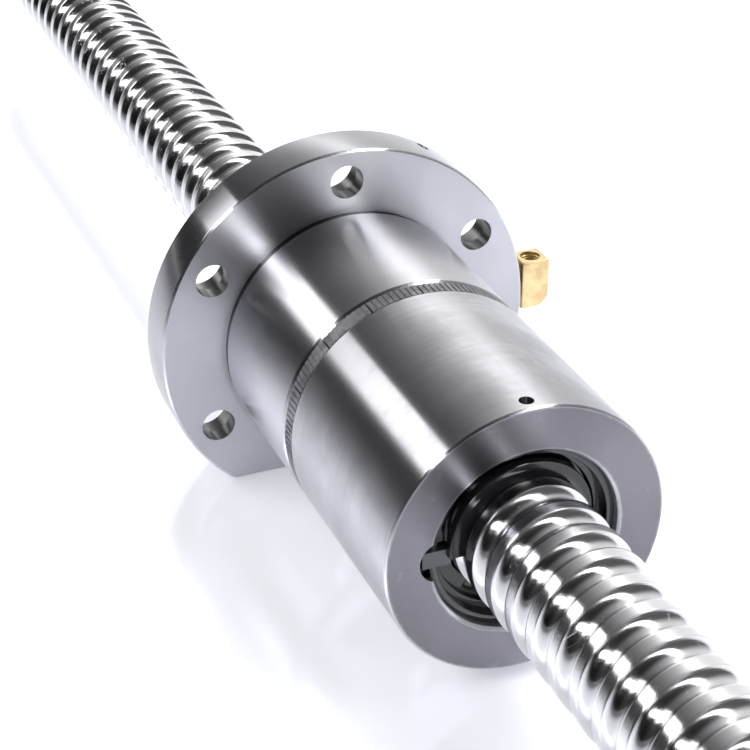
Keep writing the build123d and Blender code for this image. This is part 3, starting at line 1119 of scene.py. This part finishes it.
@dataclass
class Screw:
    """Screw shaft with its helical ball track and plain journals."""

    track: BallTrack = field(default_factory=BallTrack)
    radius: float = 19.5
    thread: Pair = (-402.0, 254.0)
    journal_radius: float = 15.0
    journal: float = 46.0
    overlap: float = 0.5
    chamfer: float = 1.5
    edge: float = 0.16
    steps: int = 72
    columns: int = 23
    groove_columns: int = 17
    crowding: float = 2.2
    end_slope: float = 2.0
    merge: float = 0.001
    round: float = 0.25
    segments: int = 120

    def thread_tree(self) -> Tree:
        """Tree that winds one grid round the axis into the whole track.

        The grid's columns lie across one lead, most of them in the groove's arc, and
        its rows follow the helix. What lies past an end folds down to the journal.

        Returns:
            The tree.
        """
        lengths = {
            "Lead": self.track.lead, "Ball Circle": self.track.circle, "Groove": self.track.groove,
            "Crest": self.radius, "Start": self.track.start, "First X": self.thread[0],
            "Last X": self.thread[1], "Journal": self.journal_radius, "Chamfer": self.chamfer,
            "Edge": self.edge, "End Slope": self.end_slope,
        }
        inputs = {name: length * MM for name, length in lengths.items()}
        inputs.update({"Steps A Turn": self.steps, "Columns": self.columns, "Material": None})
        tree, nodes, g, result = start_group("ball track", inputs)
        lead, crest, first, last = g["Lead"], g["Crest"], g["First X"], g["Last X"]
        share = (self.groove_columns - 1) / (self.columns - 1)
        slack = 0.001

        turns = ((last - first) / lead).ceil() + 2.0
        rows = turns * g["Steps A Turn"] + 1.0
        counts = {"Size X": 1.0, "Size Y": 1.0, "Vertices X": g["Columns"], "Vertices Y": rows}
        grid = nodes.add("GeometryNodeMeshGrid", counts)
        across, along, _ = nodes.split(nodes.add("GeometryNodeInputPosition"))
        turn = (along + 0.5) * turns + (((first - g["Start"]) / lead).floor() - 0.5)

        sink = g["Ball Circle"] - crest
        squared = g["Groove"] * g["Groove"]
        mouth = (squared - sink * sink).root()
        side = across * 2.0
        roll = side / share * (sink / g["Groove"]).arccos()
        groove_dx = roll.sin() * g["Groove"]
        rest = ((abs(side) - share) / (1 - share)).at_least(0.0).power(self.crowding)
        half = lead * 0.5
        land_dx = ((half - mouth) * rest + mouth) * side.sign()
        centre = turn * lead + g["Start"]
        free_x = centre + nodes.mix(abs(side) < share + slack, land_dx, groove_dx)
        x = free_x.at_least(first).at_most(last)

        far = abs((x - centre).wrap(half, half * -1.0))
        arc = g["Ball Circle"] - (squared - far * far).at_least(0.0).root()
        beyond = (far - mouth) / g["Edge"]
        soft = nodes.math("SUBTRACT", 1.0, beyond).at_least(0.0) * g["Edge"]
        land = crest - soft * 0.5
        radius = nodes.mix(far > mouth, arc.at_most(land), land)
        cone = crest - g["Chamfer"] + (x - first).at_most(last - x)
        shrink = (abs(free_x - x) / g["End Slope"]).at_most(1.0)
        radius = nodes.mix(shrink, radius.at_most(cone), g["Journal"])

        angle = turn * TURN
        target = nodes.vector(x, radius * angle.cos(), radius * angle.sin())
        wound = nodes.add("GeometryNodeSetPosition", {"Geometry": grid, "Position": target})
        welded = nodes.add("GeometryNodeMergeByDistance", {"Geometry": wound, "Distance": self.merge * MM})
        nodes.close(result, welded, g["Material"])
        return tree

    def journals(self) -> List[Mesh]:
        """Turned plain ends, one mesh for each.

        Returns:
            The meshes.
        """
        ends = []
        for shoulder, outward in zip(self.thread, (-1, 1)):
            tip = shoulder + outward * self.journal
            inner = shoulder - outward * self.overlap
            profile = [
                (inner, 0.0), (inner, self.journal_radius),
                (tip - outward * self.chamfer, self.journal_radius),
                (tip, self.journal_radius - self.chamfer), (tip, 0.0),
            ]
            ends.append(lathe("journal", profile, self.segments, self.round))
        return ends

    def build(self, finishes: Finishes) -> None:
        """Make the screw and dress it.

        Args:
            finishes: The materials.
        """
        thread = grown(empty_mesh(), self.thread_tree(), {"Material": finishes.track})
        with edited(thread) as work:
            bmesh.ops.dissolve_degenerate(work, edges=work.edges, dist=LEAST_EDGE)
            open_edges = [edge for edge in work.edges if len(edge.link_faces) == 1]
            bmesh.ops.holes_fill(work, edges=open_edges, sides=0)
            bmesh.ops.recalc_face_normals(work, faces=work.faces)
        mesh = joined([thread, *self.journals()], "screw")
        show("screw", mesh, finishes.track, Body.SCREW, ["screw_shaft"])
        mesh.materials.append(finishes.journal)
        for face in mesh.polygons[len(thread.polygons):]:
            face.material_index = 1


@dataclass
class Circuit:
    """One circuit of balls with its return tube."""

    node: str
    x: float
    track: BallTrack = field(default_factory=BallTrack)
    turns: float = 2.5
    spacing: float = 7.17
    tube: float = 5.0
    tube_bore: float = 3.95
    leg_play: float = 0.1
    run_z: float = -33.0
    bend: float = 5.6
    bend_steps: int = 12
    top_z: float = -4.0
    screw_room: float = 20.2
    clamp_screw: float = 2.0
    clamp_reach: float = 11.0
    clamp_top: float = -24.6
    below: float = -50.0

    @property
    def length(self) -> float:
        """Travel of the circuit along the axis."""
        return self.turns * self.track.lead

    def return_points(self, top_z: float) -> List[Vector]:
        """Centre line of the return tube with its two round bends.

        Args:
            top_z: Height of the tube's two mouths.

        Returns:
            Points in order.
        """
        y, end = self.track.circle, self.x + self.length
        corners = [
            Vector((self.x, y, top_z)), Vector((self.x, y, self.run_z)),
            Vector((end, -y, self.run_z)), Vector((end, -y, top_z)),
        ]
        points = [corners[0]]
        for before, corner, after in (corners[0:3], corners[1:4]):
            back = (before - corner).normalized()
            ahead = (after - corner).normalized()
            centre = corner + (back + ahead) * self.bend
            for k in range(self.bend_steps + 1):
                t = math.pi / 2 * k / self.bend_steps
                points.append(centre - ahead * self.bend * math.cos(t) - back * self.bend * math.sin(t))
        points.append(corners[3])
        return points

    def ball_tree(self) -> Tree:
        """Tree that lays touching balls along a line.

        Returns:
            The tree.
        """
        inputs = {"Radius": self.track.ball * MM, "Spacing": self.spacing * MM, "Material": None}
        tree, nodes, g, result = start_group("ball train", inputs)
        line = {"Curve": g["Geometry"], "Length": g["Spacing"]}
        even = nodes.add("GeometryNodeResampleCurve", line, mode="LENGTH")
        ball = nodes.add("GeometryNodeMeshIcoSphere", {"Radius": g["Radius"], "Subdivisions": 3})
        laid = nodes.add("GeometryNodeInstanceOnPoints", {"Points": even, "Instance": ball})
        nodes.close(result, laid, g["Material"])
        return tree

    def balls(self, finishes: Finishes, count: int = 300) -> None:
        """Make the circuit's balls, on a helix of so many short pieces and the tube's line.

        Args:
            finishes: The materials.
            count: Number of short pieces in the loaded train's line.
        """
        loaded = [self.track.centre(self.x + self.length * k / count) for k in range(count + 1)]
        back = list(reversed(self.return_points(0.0)))
        ring = loaded + back[1:-1]
        line = bpy.data.curves.new("ball line", "CURVE")
        line.dimensions = "3D"
        spline = line.splines.new("POLY")
        spline.points.add(len(ring) - 1)
        for point, place in zip(spline.points, ring):
            point.co = (place.x * MM, place.y * MM, place.z * MM, 1)
        spline.use_cyclic_u = True
        mesh = grown(line, self.ball_tree(), {"Material": finishes.ball})
        name = f"{self.node}_ball_set"
        show(name, mesh, finishes.ball, Body.NUT, [f"{self.node}_balls"])

    def tube_piece(self, finishes: Finishes) -> None:
        """Make the return tube, its ends cut back round the screw.

        Args:
            finishes: The materials.
        """
        path = self.return_points(self.top_z)
        above, margin = Vector((0, 0, 1)), 20
        inner = tube_mesh("tube bore", [path[0] + above, *path, path[-1] + above], self.tube_bore)
        ends = ((self.x - margin, 0, 0), (self.x + self.length + margin, 0, 0))
        room = rod(*ends, self.screw_room, ROOM_SIDES)
        mesh = boolean(tube_mesh("tube", path, self.tube), [inner, room])
        name, node = f"{self.node}_tube", f"{self.node}_return_tube"
        show(name, mesh, finishes.tube, Body.NUT, [node], TUBE_ANGLE)

    def cuts(self) -> List[Mesh]:
        """Holes for the tube's legs and the clamp's screws.

        Returns:
            The rods to cut with.
        """
        y = self.track.circle
        legs = ((self.x, y), (self.x + self.length, -y))
        leg = self.tube + self.leg_play
        holes = [rod((x, y, 0), (x, y, self.below), leg, PIN_SIDES) for x, y in legs]
        across = Vector((2 * y, self.length, 0)).normalized() * self.clamp_reach
        middle = Vector((self.x + self.length / 2, 0, 0))
        for x, y, _ in (middle + across, middle - across):
            low, high = (x, y, self.below), (x, y, self.clamp_top)
            holes.append(rod(low, high, self.clamp_screw, CLAMP_SIDES))
        return holes

    def build(self, finishes: Finishes) -> None:
        """Make the balls and the tube."""
        self.balls(finishes)
        self.tube_piece(finishes)


@dataclass
class NutBodies:
    """The flanged nut, the plain nut and the spacer ring between them."""

    nut: float = 42.0
    bore: float = 21.4
    flange: float = 62.5
    thickness: float = 17.0
    first: float = 54.0
    second: Pair = (60.0, 132.0)
    recess: float = 28.0
    recess_depth: float = 14.0
    lead_in: float = 0.8
    chamfer: float = 1.0
    face_edge: float = 0.6
    flange_edge: float = 0.7
    undercut: Pair = (2.8, 0.6)
    flange_flat: float = -47.0
    tube_flat: float = -28.0
    flat_margin: float = 7.0
    flange_block: Pair = (30.0, 80.0)
    flat_block: Pair = (50.0, 60.0)
    bolt_circle: float = 52.0
    bolt_hole: float = 5.5
    counterbore: Pair = (8.75, 11.0)
    bolt_angles: Tuple[int, ...] = (30, 90, 150, 210, 330)
    set_screw: Pair = (4.3, 2.1)
    set_screw_angles: Pair = (60, 90)
    oil_hole: Pair = (53.0, 3.1)
    notch: Tuple[float, float, float] = (-25.3, 6.5, 6.0)
    key_angle: float = 335.0
    key: Tuple[float, float, float] = (46.1, 6.1, 38.2)
    key_top: float = 50.0
    spacer_radii: Pair = (25.0, 41.3)
    spacer_round: float = 0.2
    slit: Pair = (0.35, 38.6)
    slit_block: Pair = (4.0, 45.0)
    slits: int = 16
    rib: Tuple[float, float, float] = (5.6, 0.3, 1.3)
    rib_radius: float = 41.45
    ribs: int = 144
    round: float = 0.18
    bevel: float = 0.14
    segments: int = 320
    sharp: float = 10.0

    @property
    def middle(self) -> float:
        """Middle of the spacer along the axis."""
        return (self.first + self.second[0]) / 2

    def key_slot(self) -> Mesh:
        """Keyway across both nuts and the spacer.

        Returns:
            The block to cut with.
        """
        long, wide, floor = self.key
        turn = about_axis(self.key_angle, self.middle)
        return block((-long / 2, -wide / 2, floor), (long / 2, wide / 2, self.key_top), turn)

    def finished(self, profile: Profile, cuts: Sequence[Mesh]) -> Mesh:
        """Turn a nut's profile, cut its holes and break its edges."""
        turned = lathe("nut", profile, self.segments, self.round)
        return bevelled(boolean(turned, cuts), self.bevel)

    def flanged(self, circuit: Circuit, finishes: Finishes) -> None:
        """Make the nut that carries the flange.

        Args:
            circuit: The nut's circuit of balls.
            finishes: The materials.
        """
        t, edge, rim = self.thickness, self.flange_edge, self.flange
        groove_end, groove = self.undercut[0], self.nut - self.undercut[1]
        floor = -t + self.recess_depth
        profile = [
            (-t, self.recess + self.lead_in), (-t + self.lead_in, self.recess), (floor, self.recess),
            (floor, self.bore), (self.first, self.bore), (self.first, self.nut - self.chamfer),
            (self.first - self.chamfer, self.nut), (groove_end, self.nut), (groove_end, groove),
            (0.0, groove), (0.0, rim - edge), (-edge, rim), (-t + edge, rim), (-t, rim - edge),
        ]
        back, reach = self.flange_block
        cuts = [block((-back, -reach, -reach), (1, reach, self.flange_flat))]
        wide, deep = self.counterbore
        for angle in self.bolt_angles:
            y = self.bolt_circle * math.cos(math.radians(angle))
            z = self.bolt_circle * math.sin(math.radians(angle))
            cuts.append(rod((-t - 1, y, z), (1, y, z), self.bolt_hole, HOLE_SIDES))
            cuts.append(rod((-t - 1, y, z), (-t + deep, y, z), wide, HOLE_SIDES))
        side, under = self.flat_block
        low = (circuit.x - self.flat_margin, -side, -under)
        cuts.append(block(low, (self.first + 1, side, self.tube_flat)))
        cuts += [*circuit.cuts(), self.key_slot()]
        from_face, radius = self.set_screw
        angle = self.set_screw_angles[0]
        cuts.append(radial(-t + from_face, angle, self.recess - 1, rim + 2, radius))
        start, radius = self.oil_hole
        cuts.append(rod((-t / 2, start, 0), (-t / 2, rim + 2, 0), radius, PIN_SIDES))
        mesh = self.finished(profile, cuts)
        names = ["flanged_nut"]
        show("nut_with_flange", mesh, finishes.ground, Body.NUT, names, self.sharp)

    def plain(self, circuit: Circuit, finishes: Finishes) -> None:
        """Make the nut without a flange.

        Args:
            circuit: The nut's circuit of balls.
            finishes: The materials.
        """
        start, end = self.second
        floor, edge = end - self.recess_depth, self.face_edge
        profile = [
            (start, self.bore), (floor, self.bore), (floor, self.recess), (end - self.lead_in, self.recess),
            (end, self.recess + self.lead_in), (end, self.nut - edge), (end - edge, self.nut),
            (start + self.chamfer, self.nut), (start, self.nut - self.chamfer),
        ]
        side, under = self.flat_block
        low = (circuit.x - self.flat_margin, -side, -under)
        high = (circuit.x + circuit.length + self.flat_margin, side, self.tube_flat)
        cuts = [block(low, high), *circuit.cuts(), self.key_slot()]
        y, radius, depth = self.notch
        cuts.append(rod((end - depth, y, 0), (end + 1, y, 0), radius, HOLE_SIDES))
        from_face, radius = self.set_screw
        angle = self.set_screw_angles[1]
        cuts.append(radial(end - from_face, angle, self.recess - 1, self.nut + 2, radius))
        mesh = self.finished(profile, cuts)
        names = ["plain_nut"]
        # The plain nut takes the steel whose end faces carry the painted shade.
        show("nut_without_flange", mesh, finishes.matt_floor_and_painted_face_shade, Body.NUT, names, self.sharp)

    def rib_tree(self) -> Tree:
        """Tree that sets fine ribs round the spacer's rim.

        Returns:
            The tree.
        """
        lengths = dict(zip(("Length", "Height", "Width"), self.rib), Radius=self.rib_radius)
        lengths["Middle"] = self.middle
        inputs = {name: length * MM for name, length in lengths.items()}
        inputs.update({"Count": self.ribs, "Material": None})
        tree, nodes, g, result = start_group("spacer ribs", inputs)
        line = {"Count": g["Count"], "Offset": (0.0, 0.0, 0.0)}
        row = nodes.add("GeometryNodeMeshLine", line)
        angle = (nodes.add("GeometryNodeInputIndex") + 0.5) / g["Count"] * TURN
        place = nodes.vector(g["Middle"], g["Radius"] * angle.cos(), g["Radius"] * angle.sin())
        moved = nodes.add("GeometryNodeSetPosition", {"Geometry": row, "Position": place})
        size = nodes.vector(g["Length"], g["Height"], g["Width"])
        rib = nodes.add("GeometryNodeMeshCube", {"Size": size})
        ribs = {"Points": moved, "Instance": rib, "Rotation": nodes.vector(angle)}
        nodes.close(result, nodes.add("GeometryNodeInstanceOnPoints", ribs), g["Material"])
        return tree

    def spacer(self, finishes: Finishes) -> None:
        """Make the slit spacer ring with its fine ribs.

        Args:
            finishes: The materials.
        """
        ends, radii = (self.first, self.second[0]), self.spacer_radii
        profile = [(ends[0], radii[0]), (ends[1], radii[0]), (ends[1], radii[1]), (ends[0], radii[1])]
        ring = lathe("spacer", profile, self.segments, self.spacer_round)
        half, floor = self.slit
        reach, top = self.slit_block
        slits = []
        for index in range(self.slits):
            turn = about_axis(index * 360 / self.slits, self.middle)
            slits.append(block((-reach, -half, floor), (reach, half, top), turn))
        ring = boolean(ring, [joined(slits, "slits"), self.key_slot()])
        ribs = grown(empty_mesh(), self.rib_tree(), {"Material": finishes.dark})
        mesh = joined([ring, boolean(ribs, [self.key_slot()])], "spacer ring")
        show("spacer_ribbed_ring", mesh, finishes.dark, Body.NUT, ["spacer_ring"])


@dataclass
class Wiper:
    """Plastic wiper with its helical lip, garter spring and set screw."""

    end: str
    inner: float
    outward: int
    lip: Pair
    screw_x: float
    screw_angle: float
    tab: bool
    track: BallTrack = field(default_factory=BallTrack)
    bore: float = 20.0
    steps: Tuple[Pair, ...] = ((24.0, 3.2), (25.8, 6.3), (27.9, 10.8))
    spring_groove: Tuple[float, float, float] = (1.85, 4.65, 25.0)
    lip_section: Tuple[Pair, ...] = ((-1.5, 17.6), (1.5, 17.6), (1.5, 23.0), (-1.5, 23.0))
    lip_steps: int = 160
    lip_round: float = 0.45
    round: float = 0.25
    segments: int = 200
    tab_block: Tuple[Point, Point] = ((126.4, -30.4, -2.5), (130.4, -22.0, 2.5))
    screw_face: float = 36.0
    screw_size: Pair = (8.0, 2.0)
    socket_size: Pair = (2.5, 1.15)
    screw_bevel: float = 0.2
    spring: Tuple[float, float, float] = (26.4, 0.85, 0.15)
    spring_place: float = 3.25
    coils: int = 300
    coil_points: int = 8
    wire_sides: int = 5

    def ring(self) -> Mesh:
        """Stepped ring with the spring's groove.

        Returns:
            The turned mesh.
        """
        profile = [(0.0, self.bore)]
        inner = self.bore
        for radius, width in self.steps:
            profile += [(width, inner), (width, radius)]
            inner = radius
        near, far, floor = self.spring_groove
        profile += [(far, inner), (far, floor), (near, floor), (near, inner), (0.0, inner)]
        placed = [(self.inner + self.outward * x, r) for x, r in profile]
        return lathe("wiper ring", placed, self.segments, self.round)

    def lip_mesh(self) -> Mesh:
        """Helical lip that lies in the screw's track.

        Returns:
            The closed mesh.
        """
        first, last = self.lip
        count = self.lip_steps
        stations = [first + (last - first) * k / count for k in range(count + 1)]
        corners = round_corners(self.lip_section, self.lip_round)

        def section(k: int) -> List[Vector]:
            """Corners of the lip at one station."""
            x, turn = stations[k], self.track.angle(stations[k])
            return [Vector((x + dx, r * math.cos(turn), r * math.sin(turn))) for dx, r in corners]

        return sweep("lip", stations, section)

    def spring_tree(self) -> Tree:
        """Tree that coils a wire round a ring.

        Returns:
            The tree.
        """
        inputs = {name: size * MM for name, size in zip(("Ring", "Coil", "Wire"), self.spring)}
        counts = {"Coils": self.coils, "Points A Coil": self.coil_points}
        inputs.update({"Middle": 0.0, **counts, "Material": None})
        tree, nodes, g, result = start_group("garter spring", inputs)
        count = g["Coils"] * g["Points A Coil"]
        circle = nodes.add("GeometryNodeCurvePrimitiveCircle", {"Resolution": count, "Radius": 1.0})
        index = nodes.add("GeometryNodeInputIndex")
        around = index / count * TURN
        roll = index / g["Points A Coil"] * TURN
        radius = g["Ring"] + g["Coil"] * roll.cos()
        x = g["Middle"] + g["Coil"] * roll.sin()
        place = nodes.vector(x, radius * around.cos(), radius * around.sin())
        coil = nodes.add("GeometryNodeSetPosition", {"Geometry": circle, "Position": place})
        section = {"Resolution": self.wire_sides, "Radius": g["Wire"]}
        wire = nodes.add("GeometryNodeCurvePrimitiveCircle", section)
        bar = nodes.add("GeometryNodeCurveToMesh", {"Curve": coil, "Profile Curve": wire})
        nodes.close(result, bar, g["Material"])
        return tree

    def build(self, finishes: Finishes) -> None:
        """Make the wiper, its spring and its set screw.

        Args:
            finishes: The materials.
        """
        meshes = [self.lip_mesh()]
        if self.tab:
            meshes.append(block(*self.tab_block))
        body = boolean(self.ring(), meshes, "UNION")
        name, node = f"{self.end}_wiper_lip_ring", f"{self.end}_wiper"
        show(name, body, finishes.plastic, Body.NUT, [node])
        middle = self.inner + self.outward * self.spring_place
        values = {"Middle": middle * MM, "Material": finishes.spring}
        coil = grown(empty_mesh(), self.spring_tree(), values)
        name = f"{self.end}_garter_spring"
        show(name, coil, finishes.spring, Body.RINGS, [f"{node}_spring"], COIL_ANGLE)
        face, place = self.screw_face, (self.screw_x, self.screw_angle)
        length, radius = self.screw_size
        screw = radial(*place, face - length, face, radius)
        depth, radius = self.socket_size
        socket = radial(*place, face - depth, face + 1, radius)
        screw = bevelled(boolean(screw, [socket]), self.screw_bevel)
        name = f"{self.end}_set_screw"
        show(name, screw, finishes.black, Body.NUT, [f"{node}_screw"])


@dataclass
class Elbow:
    """Brass lubrication elbow on the flange's rim."""

    x: float = -8.5
    width: float = 10.0
    inner: float = 64.4
    outer: float = 74.4
    bottom: float = -7.0
    top: float = 10.0
    heel: float = 5.0
    hole: float = 3.4
    hole_floor: float = 1.0
    pitch: float = 0.9
    ridge: Tuple[Pair, ...] = ((0.1, -0.32), (-0.3, 0.0), (0.1, 0.32))
    turns: int = 6
    stub: Pair = (5.2, 3.0)
    stub_middle: float = 59.3
    stub_round: float = 0.3
    thread_start: float = 1.0
    bevel: float = 0.5
    bevel_steps: int = 3
    heel_steps: int = 10

    @property
    def middle(self) -> float:
        """Distance of the hole's axis from the screw's."""
        return (self.inner + self.outer) / 2

    def thread(self, steps: int = 24) -> Mesh:
        """Ridge of the thread that winds round the inside of the hole.

        Args:
            steps: Number of steps in a turn.

        Returns:
            The closed mesh.
        """
        start = self.top - self.thread_start
        heights = [start - self.pitch * k / steps for k in range(steps * self.turns + 1)]

        def section(k: int) -> List[Vector]:
            """Corners of the ridge at one step.

            Args:
                k: Number of the section.

            Returns:
                The corners.
            """
            turn, corners = TURN * k / steps, []
            for out, dz in self.ridge:
                dx, dy = (self.hole + out) * math.cos(turn), (self.hole + out) * math.sin(turn)
                corners.append(Vector((self.x + dx, self.middle + dy, heights[k] + dz)))
            return corners

        return sweep("thread", heights, section)

    def build(self, finishes: Finishes) -> None:
        """Make the elbow.

        Args:
            finishes: The materials.
        """
        half = self.width / 2
        body = block((self.x - half, self.inner, self.bottom), (self.x + half, self.outer, self.top))
        beyond, under = (self.outer - 0.1) * MM, (self.bottom + 0.1) * MM
        size = {"offset": self.heel * MM, "segments": self.heel_steps}
        with edited(body) as work:
            heel = [e for e in work.edges if all(v.co.y > beyond and v.co.z < under for v in e.verts)]
            bmesh.ops.bevel(work, geom=heel, profile=0.5, affect="EDGES", **size)
        low, high = ((self.x, self.middle, z) for z in (self.hole_floor, self.top + 1))
        body = bevelled(body, self.bevel, self.bevel_steps)
        body = boolean(body, [rod(low, high, self.hole, PIN_SIDES)])
        end, radius = self.stub
        profile = [(-end, 0.0), (-end, radius), (end, radius), (end, 0.0)]
        stub = lathe("stub", profile, PIN_SIDES, self.stub_round)
        place = Matrix.Translation((self.x * MM, self.stub_middle * MM, 0))
        stub.transform(place @ Matrix.Rotation(math.pi / 2, 4, "Z"))
        mesh = joined([body, self.thread(), stub], "elbow")
        show("oil_elbow", mesh, finishes.brass, Body.NUT, ["lube_elbow"], TUBE_ANGLE)


def dress_frame(finishes: Finishes) -> None:
    """Give the CAD nodes that stay their finishes.

    Args:
        finishes: The materials.
    """
    plan = {
        "flanged_nut_tube_clamp": finishes.tube,
        "plain_nut_tube_clamp": finishes.tube,
        "flanged_nut_clamp_screws": finishes.black,
        "plain_nut_clamp_screws": finishes.black,
        "nut_key": finishes.dark,
        "nut_key_screws": finishes.black,
    }
    for node, material in plan.items():
        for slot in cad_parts[node].material_slots:
            slot.material = material
        LOG.info("%s keeps its solid", node)


# Studio


@dataclass
class Studio:
    """Floor, light and camera.

    The panel gives the light's level at angles about the screw. Each strip lies
    between two such angles, has a level, and is limited along the screw.
    """

    floor_z: float = -47.3
    floor_size: float = 4000.0
    floor_colour: Colour = (0.84, 0.85, 0.89)
    dim_colour: Colour = (0.14, 0.14, 0.145)
    glow_colour: Colour = (0.94, 0.96, 1)
    glow: float = 0.3
    shine_colour: Colour = (0.80, 0.84, 1.0)
    shine_rough: float = 0.12
    shine: float = 0.18
    fade: Pair = (-0.42, -0.06)
    lamps: Tuple[Tuple[str, Point, Pair, float], ...] = (
        ("key", (-300, -900, 900), (700, 900), 7.5),
        ("fill", (500, 700, 900), (900, 900), 8.0),
    )
    aim: Point = (50, 0, 0)
    eye: Point = (534.36, -210.67, 306.5)
    right: Point = (0.3801, 0.9250, 0.0019)
    back: Point = (0.8056, -0.3320, 0.4907)
    lens: float = 96.27
    brightest: float = 2.6
    facing: Tuple[float, float, float] = (-0.3, 0.4, 0.12)
    panel: Tuple[Pair, ...] = (
        (0, 1.15), (22, 1.02), (34, 1.02), (45, 1.25), (54, 1.9), (59, 1.8), (68, 1.0), (80, 0.55),
        (92, 0.36), (104, 0.21), (118, 0.12), (149, 0.1), (164, 0.05), (178, 0.05),
    )
    strips: Tuple[Tuple[float, ...], ...] = (
        (49.0, 61.0, 2.0, -0.92, -0.87, -0.1, 0.1),
        (125.5, 148.5, 2.6, -0.86, -0.80, -0.1, 0.1),
        (52.0, 65.0, 6.0, -0.1, 0.1, 0.8, 0.95),
        (131.0, 141.0, 7.5, -0.1, 0.1, 0.8, 0.95),
    )

    def stage_material(self) -> Material:
        """Pale floor that looks white to the camera and in near reflections.

        Returns:
            The material.
        """
        material = bpy.data.materials.new("pale floor")
        nodes = fresh(material)

        def cover(kind: str, colour: Colour, **more: float) -> Signal:
            """Add a simple shader of one colour."""
            return nodes.add(f"ShaderNode{kind}", {"Color": (*colour, 1), **more})

        def mixed(share: Value, first: Signal, second: Signal) -> Signal:
            """Mix two shaders."""
            return nodes.add("ShaderNodeMixShader", {0: share, 1: first, 2: second})

        matt_floor_and_painted_face_shade = cover("BsdfDiffuse", self.floor_colour)
        dim = cover("BsdfDiffuse", self.dim_colour)
        glow = cover("Emission", self.glow_colour, Strength=self.glow)
        shine = cover("BsdfGlossy", self.shine_colour, Roughness=self.shine_rough)
        near = mixed(self.shine, nodes.add("ShaderNodeAddShader", {0: matt_floor_and_painted_face_shade, 1: glow}), shine)
        ray = nodes.every("ShaderNodeLightPath")
        start, end = self.fade
        _, y, _ = nodes.split(nodes.coordinate())
        glossy = ray["Is Glossy Ray"] * nodes.spread(y, start=start, end=end)
        seen = ray["Is Camera Ray"].at_least(glossy).at_least(ray["Is Transmission Ray"])
        far = mixed(ray["Is Glossy Ray"], matt_floor_and_painted_face_shade, dim)
        nodes.node("ShaderNodeOutputMaterial", {"Surface": mixed(seen, far, near)})
        return material

    def floor(self) -> None:
        """Make the floor."""
        corners = [(x * self.floor_size, y * self.floor_size, self.floor_z)
                   for x, y in ((-1, -1), (1, -1), (1, 1), (-1, 1))]
        mesh = mesh_from("floor", corners, [(0, 1, 2, 3)])
        mesh.materials.append(self.stage_material())
        new_object("floor", mesh)

    def world(self) -> None:
        """Studio round the part: a wide soft panel and strips, all long along the screw."""
        world = bpy.data.worlds.new("studio")
        bpy.context.scene.world = world
        nodes = fresh(world)
        x, y, z = nodes.split(nodes.coordinate("Generated"))
        turn = nodes.math("DEGREES", z.arctan2(y))
        ramp = nodes.node("ShaderNodeValToRGB", {0: turn / 180.0})
        band = ramp.color_ramp
        for index, (degrees, level) in enumerate(self.panel):
            place, tone = degrees / 180, level / self.brightest
            if index < 2:
                band.elements[index].position = place
            stop = band.elements[index] if index < 2 else band.elements.new(place)
            stop.color = (tone, tone * 0.99, tone, 1)
        full, end, least = self.facing
        turned = nodes.spread(x, 1.0, least, full, end, interpolation_type="SMOOTHSTEP")
        tone = nodes.add("ShaderNodeRGBToBW", {0: Signal(nodes, ramp.outputs[0])})
        light = tone * (turned * self.brightest)
        for low, high, level, start, full, fade, end in self.strips:
            window = nodes.spread(x, start=start, end=full) * nodes.spread(x, 1.0, 0.0, fade, end)
            light = light.at_least((turn > low) * (turn < high) * (window * level))
        seen = nodes.every("ShaderNodeLightPath")["Is Camera Ray"]
        power = nodes.mix(seen, light, 1.0)
        back = nodes.add("ShaderNodeBackground", {"Color": (1, 1, 1, 1), "Strength": power})
        nodes.node("ShaderNodeOutputWorld", {"Surface": back})

    def lamp(self, name: str, place: Point, size: Pair, power: float) -> None:
        """Add a soft rectangular lamp that faces the nuts.

        Args:
            name: Name of the lamp.
            place: Its place in millimetres.
            size: Its width and height in millimetres.
            power: Its power in watts.
        """
        light = bpy.data.lights.new(name, "AREA")
        light.shape = "RECTANGLE"
        light.size, light.size_y = size[0] * MM, size[1] * MM
        light.energy = power
        lamp = new_object(name, light)
        lamp.location = Vector(place) * MM
        lamp.rotation_euler = (Vector(self.aim) - Vector(place)).to_track_quat("-Z", "Y").to_euler()
        lamp.visible_glossy = False

    def camera(self) -> None:
        """Add the camera at the photograph's viewing angle."""
        camera = bpy.data.cameras.new("camera")
        camera.sensor_width = 36.0
        camera.lens = self.lens
        camera.clip_end = 50.0
        eye = new_object("camera", camera)
        back = Vector(self.back).normalized()
        up = back.cross(Vector(self.right).normalized()).normalized()
        turn = Matrix((up.cross(back), up, back)).transposed().to_4x4()
        eye.matrix_world = Matrix.Translation(Vector(self.eye) * MM) @ turn
        bpy.context.scene.camera = eye

    def build(self) -> None:
        """Make the whole studio."""
        self.floor()
        self.world()
        for lamp in self.lamps:
            self.lamp(*lamp)
        self.camera()
        bpy.context.scene.view_settings.view_transform = "Standard"


def main() -> None:
    """Build every sub-assembly, then the studio."""
    logging.basicConfig(level=logging.INFO, format="%(message)s")
    finishes = Finishes(Effects())
    first, second = Circuit("flanged_nut", x=16.4), Circuit("plain_nut", x=76.4)
    bodies = NutBodies()
    bodies.flanged(first, finishes)
    bodies.plain(second, finishes)
    bodies.spacer(finishes)
    for circuit in (first, second):
        circuit.build(finishes)
    Screw().build(finishes)
    front = {"inner": 118.2, "outward": 1, "lip": (120.1, 130.4), "screw_x": 127.7, "screw_angle": 90}
    rear = {"inner": -3.2, "outward": -1, "lip": (-15.4, -5.1), "screw_x": -12.7, "screw_angle": 60}
    Wiper("front", tab=True, **front).build(finishes)
    Wiper("rear", tab=False, **rear).build(finishes)
    Elbow().build(finishes)
    dress_frame(finishes)
    Studio().build()


if __name__ == "__main__":
    main()
